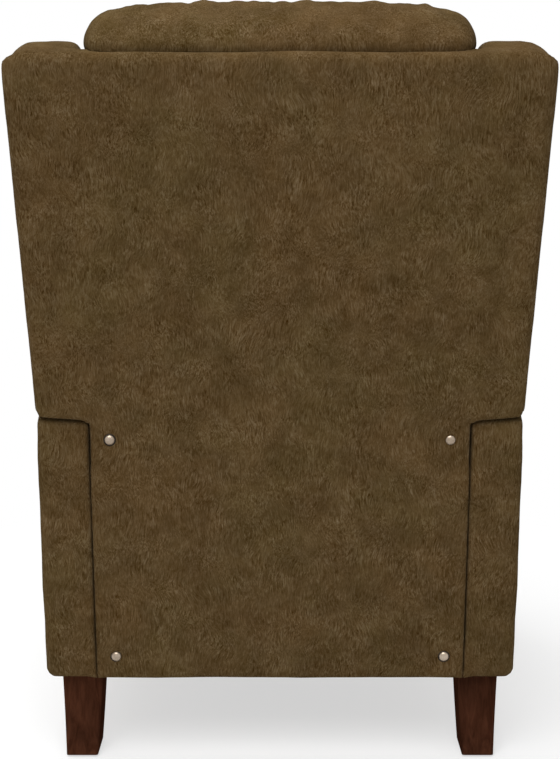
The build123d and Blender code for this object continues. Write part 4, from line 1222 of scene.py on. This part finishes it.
def makeSeatCushion():
    q = seatCushion
    path = roundedPath([
        (q["lipBack"], q["lip"], 0.002),
        (q["lipBack"], q["floor"], 0),
        (q["back"], q["floor"], 0.010),
        (q["back"], q["edge"] + q["raise"], q["sideRound"]),
        (q["crownAt"][0], q["crown"] + q["raise"], q["crownCut"]),
        (q["crownAt"][1], q["crown"], q["crownCut"]),
        (q["front"] + 0.005, q["edge"] + q["raise"], 0.042),
        (q["front"] + 0.003, q["lip"] + 0.002, 0.010),
    ])
    rads = np.where(path[:, 1] > q["floor"] + 0.01, q["sideRound"], q["floorRound"])
    rads = np.where(path[:, 0] < q["lipBack"] + 0.002, q["lipRound"], rads)
    slab = softSlab(path, -q["half"], q["half"], rads, rads, acrossX)
    obj = skin("seatCushion", [slab], q["voxel"], q["relax"])
    co = getVerts(obj)
    low = 1 - smoothStep(q["floor"] + 0.004, q["floor"] + 0.03, co[:, 2])
    lip = 1 - smoothStep(q["lip"] + 0.005, q["lip"] + 0.03, co[:, 2])
    hold = np.where(co[:, 1] > q["lipBack"] - 0.001, low, lip)
    inflate(obj, np.clip(hold, 0, 1), q["pressure"], q["cap"])
    levelCorners(obj)
    relaxMesh(obj, 4)
    finer(obj)
    co, no = getVerts(obj), getNormals(obj)
    z = co[:, 2]
    # boxing seam round the front and sides, slack on the top
    upright = 1 - smoothStep(0.3, 0.7, np.abs(no[:, 2]))
    move = -q["seamDeep"] * (bell((z - q["seam"]) / q["seamHalf"]) * upright)
    puff = np.array([noise.noise(Vector(p)) for p in co * np.array(q["puffScale"])])
    move += q["puff"] * puff * bell((z - q["seam"]) / q["puffHalf"])
    move += q["rumple"] * rumple(co, 10.0, 8) * smoothStep(*q["rumpleFade"], z)
    co += no * move[:, None]
    # stays between the arms, ahead of the back and above the springs
    co[:, 0] = np.clip(co[:, 0], -q["mostHalf"], q["mostHalf"])
    co[:, 1] = np.minimum(co[:, 1], q["mostBack"])
    co[:, 2] = np.where(co[:, 1] > q["bottomFrom"], np.maximum(co[:, 2], q["bottom"]), co[:, 2])
    setVerts(obj, co)
    dress(obj)
    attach(obj, "seat")
    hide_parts("seat_cushion")
    return obj


seatCushionObj = makeSeatCushion()
print("seat cushion:", len(seatCushionObj.data.polygons), "faces")

footrestPad = {
    "half": 0.256,
    "mostHalf": 0.2630,
    "back": -0.4005,
    "backLift": 0.0005,
    "shoulder": -0.4195,
    "face": -0.449,
    "faceInset": 0.004,
    "faceCut": 0.024,
    "faceRound": 0.020,
    "low": 0.138,
    "wrapTop": 0.3122,
    "wrapCut": 0.003,
    "wrapRound": 0.004,
    "high": 0.3155,
    "cover": 0.0015,
    "voxel": 0.0055,
    "relax": 4,
    "pressure": 4.0,
    "cap": 0.010,
    "sewn": 0.226,
    "sewnHalf": 0.008,
    "sewnDeep": 0.007,
    "sewnEnd": (0.226, 0.246),
    "gather": 0.0022,
    "gatherAt": 0.014,
    "gatherHalf": 0.013,
    "gatherScale": (60, 8),
    "rumple": 0.0010,
}


def wrapBoard(co, no):
    # the cover stays outside its board
    q = footrestPad
    low, high = (np.array(c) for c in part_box("footrest_board"))
    wrapped = co[:, 1] > low[1] - q["cover"]
    under = wrapped & (no[:, 2] < -0.4)
    co[under, 2] = np.minimum(co[under, 2], low[2] - q["cover"])
    over = wrapped & (no[:, 2] > 0.4)
    co[over, 2] = np.maximum(co[over, 2], high[2] + q["cover"])
    for side in (1, -1):
        beside = wrapped & (side * no[:, 0] > 0.4)
        co[beside, 0] = side * np.maximum(side * co[beside, 0], high[0] + q["cover"])
    co[:, 1] = np.minimum(co[:, 1], q["back"] + q["backLift"])
    co[:, 0] = np.clip(co[:, 0], -q["mostHalf"], q["mostHalf"])


def makeFootrestPad():
    q = footrestPad
    path = roundedPath([
        (q["back"], q["low"], q["wrapCut"]),
        (q["back"], q["wrapTop"], q["wrapCut"]),
        (q["shoulder"], q["high"], q["wrapRound"]),
        (q["face"], q["high"] - q["faceInset"], q["faceCut"]),
        (q["face"], q["low"] + q["faceInset"], q["faceCut"]),
    ])
    rads = np.where(path[:, 0] < q["shoulder"] - 0.006, q["faceRound"], q["wrapRound"])
    slab = softSlab(path, -q["half"], q["half"], rads, rads, acrossX)
    obj = skin("footrestPad", [slab], q["voxel"], q["relax"])
    hold = smoothStep(q["back"] - 0.010, q["back"] - 0.003, getVerts(obj)[:, 1])
    inflate(obj, hold, q["pressure"], q["cap"])
    relaxMesh(obj, 2)
    finer(obj)
    co, no = getVerts(obj), getNormals(obj)
    # one sewn line across the middle, gathered
    facing = smoothStep(0.3, 0.8, -no[:, 1]) * (1 - smoothStep(*q["sewnEnd"], np.abs(co[:, 0])))
    above = co[:, 2] - q["sewn"]
    move = -q["sewnDeep"] * bell(above / q["sewnHalf"]) * facing
    wave = folds(co[:, 0], co[:, 2], q["gatherScale"], 5.0)
    move += q["gather"] * wave * bell((np.abs(above) - q["gatherAt"]) / q["gatherHalf"]) * facing
    move += q["rumple"] * rumple(co, 14.0, 9)
    co += no * move[:, None]
    wrapBoard(co, no)
    setVerts(obj, co)
    dress(obj)
    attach(obj, "footrest")
    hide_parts("footrest_pad")
    return obj


footrestPadObj = makeFootrestPad()
print("footrest pad:", len(footrestPadObj.data.polygons), "faces")

# decorative nails

def nailTree():
    tree = bpy.data.node_groups.new("decorativeNails", "GeometryNodeTree")
    face = tree.interface
    face.new_socket("Geometry", in_out="INPUT", socket_type="NodeSocketGeometry")
    sizes = {
        "Head Radius": nails["radius"],
        "Dome Height": nails["dome"],
        "Rim Ratio": nails["rim"],
        "Collar Depth": nails["collar"],
        "Lean": shell["leanLow"],
    }
    for name, value in sizes.items():
        face.new_socket(name, in_out="INPUT", socket_type="NodeSocketFloat").default_value = value
    for name in ("Finish", "Shadow Finish"):
        face.new_socket(name, in_out="INPUT", socket_type="NodeSocketMaterial")
    face.new_socket("Geometry", in_out="OUTPUT", socket_type="NodeSocketGeometry")
    given = tree.nodes.new("NodeGroupInput").outputs
    ball = addNode(tree, "GeometryNodeMeshUVSphere", {
        "Segments": nails["sides"],
        "Rings": nails["rings"],
        "Radius": given["Head Radius"],
    })
    flat = addMath(tree, "DIVIDE", given["Dome Height"], given["Head Radius"])
    squat = addNode(tree, "ShaderNodeCombineXYZ", {0: 1, 1: 1, 2: flat})
    dome = addNode(tree, "GeometryNodeTransform", {
        "Geometry": ball.outputs["Mesh"],
        "Scale": squat.outputs[0],
    })
    # a dark collar under the dome paints the shadow round the head
    collar = addNode(tree, "GeometryNodeMeshCylinder", {
        "Vertices": nails["sides"],
        "Depth": given["Collar Depth"],
        "Radius": addMath(tree, "MULTIPLY", given["Head Radius"], given["Rim Ratio"]),
    })
    mark = tree.nodes.new("GeometryNodeStoreNamedAttribute")
    mark.data_type, mark.domain = "BOOLEAN", "FACE"
    wire(tree, mark, {"Geometry": collar.outputs["Mesh"], "Name": "rim", "Value": True})
    both = addNode(tree, "GeometryNodeJoinGeometry", {0: dome.outputs[0]})
    wire(tree, both, {0: mark.outputs[0]})
    # the head's axis turns from +Z to the panel's normal
    tilt = addMath(tree, "SUBTRACT", -math.pi / 2, given["Lean"])
    turn = addNode(tree, "ShaderNodeCombineXYZ", {0: tilt})
    spots = addNode(tree, "GeometryNodeMeshToPoints", {"Mesh": given["Geometry"]})
    put = addNode(tree, "GeometryNodeInstanceOnPoints", {
        "Points": spots.outputs[0],
        "Instance": both.outputs[0],
        "Rotation": turn.outputs[0],
    })
    real = addNode(tree, "GeometryNodeRealizeInstances", {0: put.outputs[0]})
    shade = addNode(tree, "GeometryNodeSetShadeSmooth", {0: real.outputs[0]})
    paint = addNode(tree, "GeometryNodeSetMaterial", {0: shade.outputs[0], "Material": given["Finish"]})
    rim = tree.nodes.new("GeometryNodeInputNamedAttribute")
    rim.data_type = "BOOLEAN"
    wire(tree, rim, {"Name": "rim"})
    edge = addNode(tree, "GeometryNodeSetMaterial", {
        0: paint.outputs[0],
        "Selection": rim.outputs["Attribute"],
        "Material": given["Shadow Finish"],
    })
    addNode(tree, "NodeGroupOutput", {0: edge.outputs[0]})
    return tree


def makeNails():
    obj = meshPiece("decorativeNails", nailSpots(nails["sink"]), [])
    mod = obj.modifiers.new("nails", "NODES")
    mod.node_group = nailTree()
    # the nails' own finish, and the dark ring finish that paints the shadow under each head
    worn = {"Finish": finishes["nail"], "Shadow Finish": nailShadowMat}
    for item in mod.node_group.interface.items_tree:
        if item.in_out == "INPUT" and item.name in worn:
            mod[item.identifier] = worn[item.name]
    bake(obj)
    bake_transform(obj)
    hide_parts("decorative_nails")
    return obj


nailObj = makeNails()
print("nails:", len(nailObj.data.polygons), "faces")

# floor, light and camera

studio = {
    "ambient": 0.42,
    "white": (1, 1, 1, 1),
    "lamps": {
        # place and watts
        "keyLamp": ((0.5, 2.8, 3.5), 105.0),
        "fillLamp": ((1.6, -3.2, 2.2), 55.0),
        "topLamp": ((0.4, 0.2, 3.6), 70.0),
    },
    "lampSize": 2.6,
    "aim": (0, 0, 0.5),
    "floorRadius": 9,
    "floorSides": 64,
    "floorColour": (0.93, 0.93, 0.93, 1),
    "floorRough": 0.9,
    "floorFade": (0.5, 1.3),
    "floorGlow": 0.6,
}


def backdropShare(tree):
    # share of the rays that see the plain white background
    rays = tree.nodes.new("ShaderNodeLightPath").outputs
    seen = addMath(tree, "MAXIMUM", rays["Is Camera Ray"], rays["Is Glossy Ray"])
    return addMath(tree, "MAXIMUM", seen, rays["Is Transmission Ray"])


def mixBackdrop(tree, share, lit, backdrop, output):
    mix = addNode(tree, "ShaderNodeMixShader", {0: share, 1: lit.outputs[0], 2: backdrop.outputs[0]})
    wire(tree, tree.nodes[output], {"Surface": mix.outputs[0]})


def makeWorld():
    world = bpy.data.worlds.new("studio")
    scene.world = world
    world.use_nodes = True
    tree = world.node_tree
    light = wire(tree, tree.nodes["Background"], {"Strength": studio["ambient"], "Color": studio["white"]})
    plain = addNode(tree, "ShaderNodeBackground", {"Color": studio["white"]})
    mixBackdrop(tree, backdropShare(tree), light, plain, "World Output")


def makeFloor():
    n, radius = studio["floorSides"], studio["floorRadius"]
    turns = [2 * math.pi * k / n for k in range(n)]
    ring = [(radius * math.cos(a), radius * math.sin(a), 0) for a in turns]
    floor = meshPiece("floor", ring, [tuple(range(n))])
    mat, tree, shader, coords = startMaterial("paleFloor")
    wire(tree, shader, {"Base Color": studio["floorColour"], "Roughness": studio["floorRough"]})
    glow = addNode(tree, "ShaderNodeEmission", {"Color": studio["white"]})
    away = addNode(tree, "ShaderNodeVectorMath", {0: coords})
    away.operation = "LENGTH"
    far = addRange(tree, away.outputs["Value"], studio["floorGlow"], 1, *studio["floorFade"])
    share = addMath(tree, "MULTIPLY", far, backdropShare(tree))
    mixBackdrop(tree, share, shader, glow, "Material Output")
    floor.data.materials.append(mat)


def makeLamps():
    for name, (at, watts) in studio["lamps"].items():
        lamp = bpy.data.lights.new(name, "AREA")
        lamp.size = studio["lampSize"]
        lamp.energy = watts
        obj = bpy.data.objects.new(name, lamp)
        obj.location = at
        obj.rotation_euler = (Vector(studio["aim"]) - Vector(at)).to_track_quat("-Z", "Y").to_euler()
        scene.collection.objects.link(obj)


view = {"at": (0.0, 2.5515, 0.897), "pitch": 8.5, "lens": 76.4, "sensor": 36}


def makeCamera():
    cam = bpy.data.cameras.new("rearCamera")
    cam.lens = view["lens"]
    cam.sensor_width = view["sensor"]
    obj = bpy.data.objects.new("rearCamera", cam)
    obj.location = view["at"]
    obj.rotation_euler = (math.radians(90 - view["pitch"]), 0, math.pi)
    scene.collection.objects.link(obj)
    scene.camera = obj


makeWorld()
makeFloor()
makeLamps()
makeCamera()
print("stage and camera set")
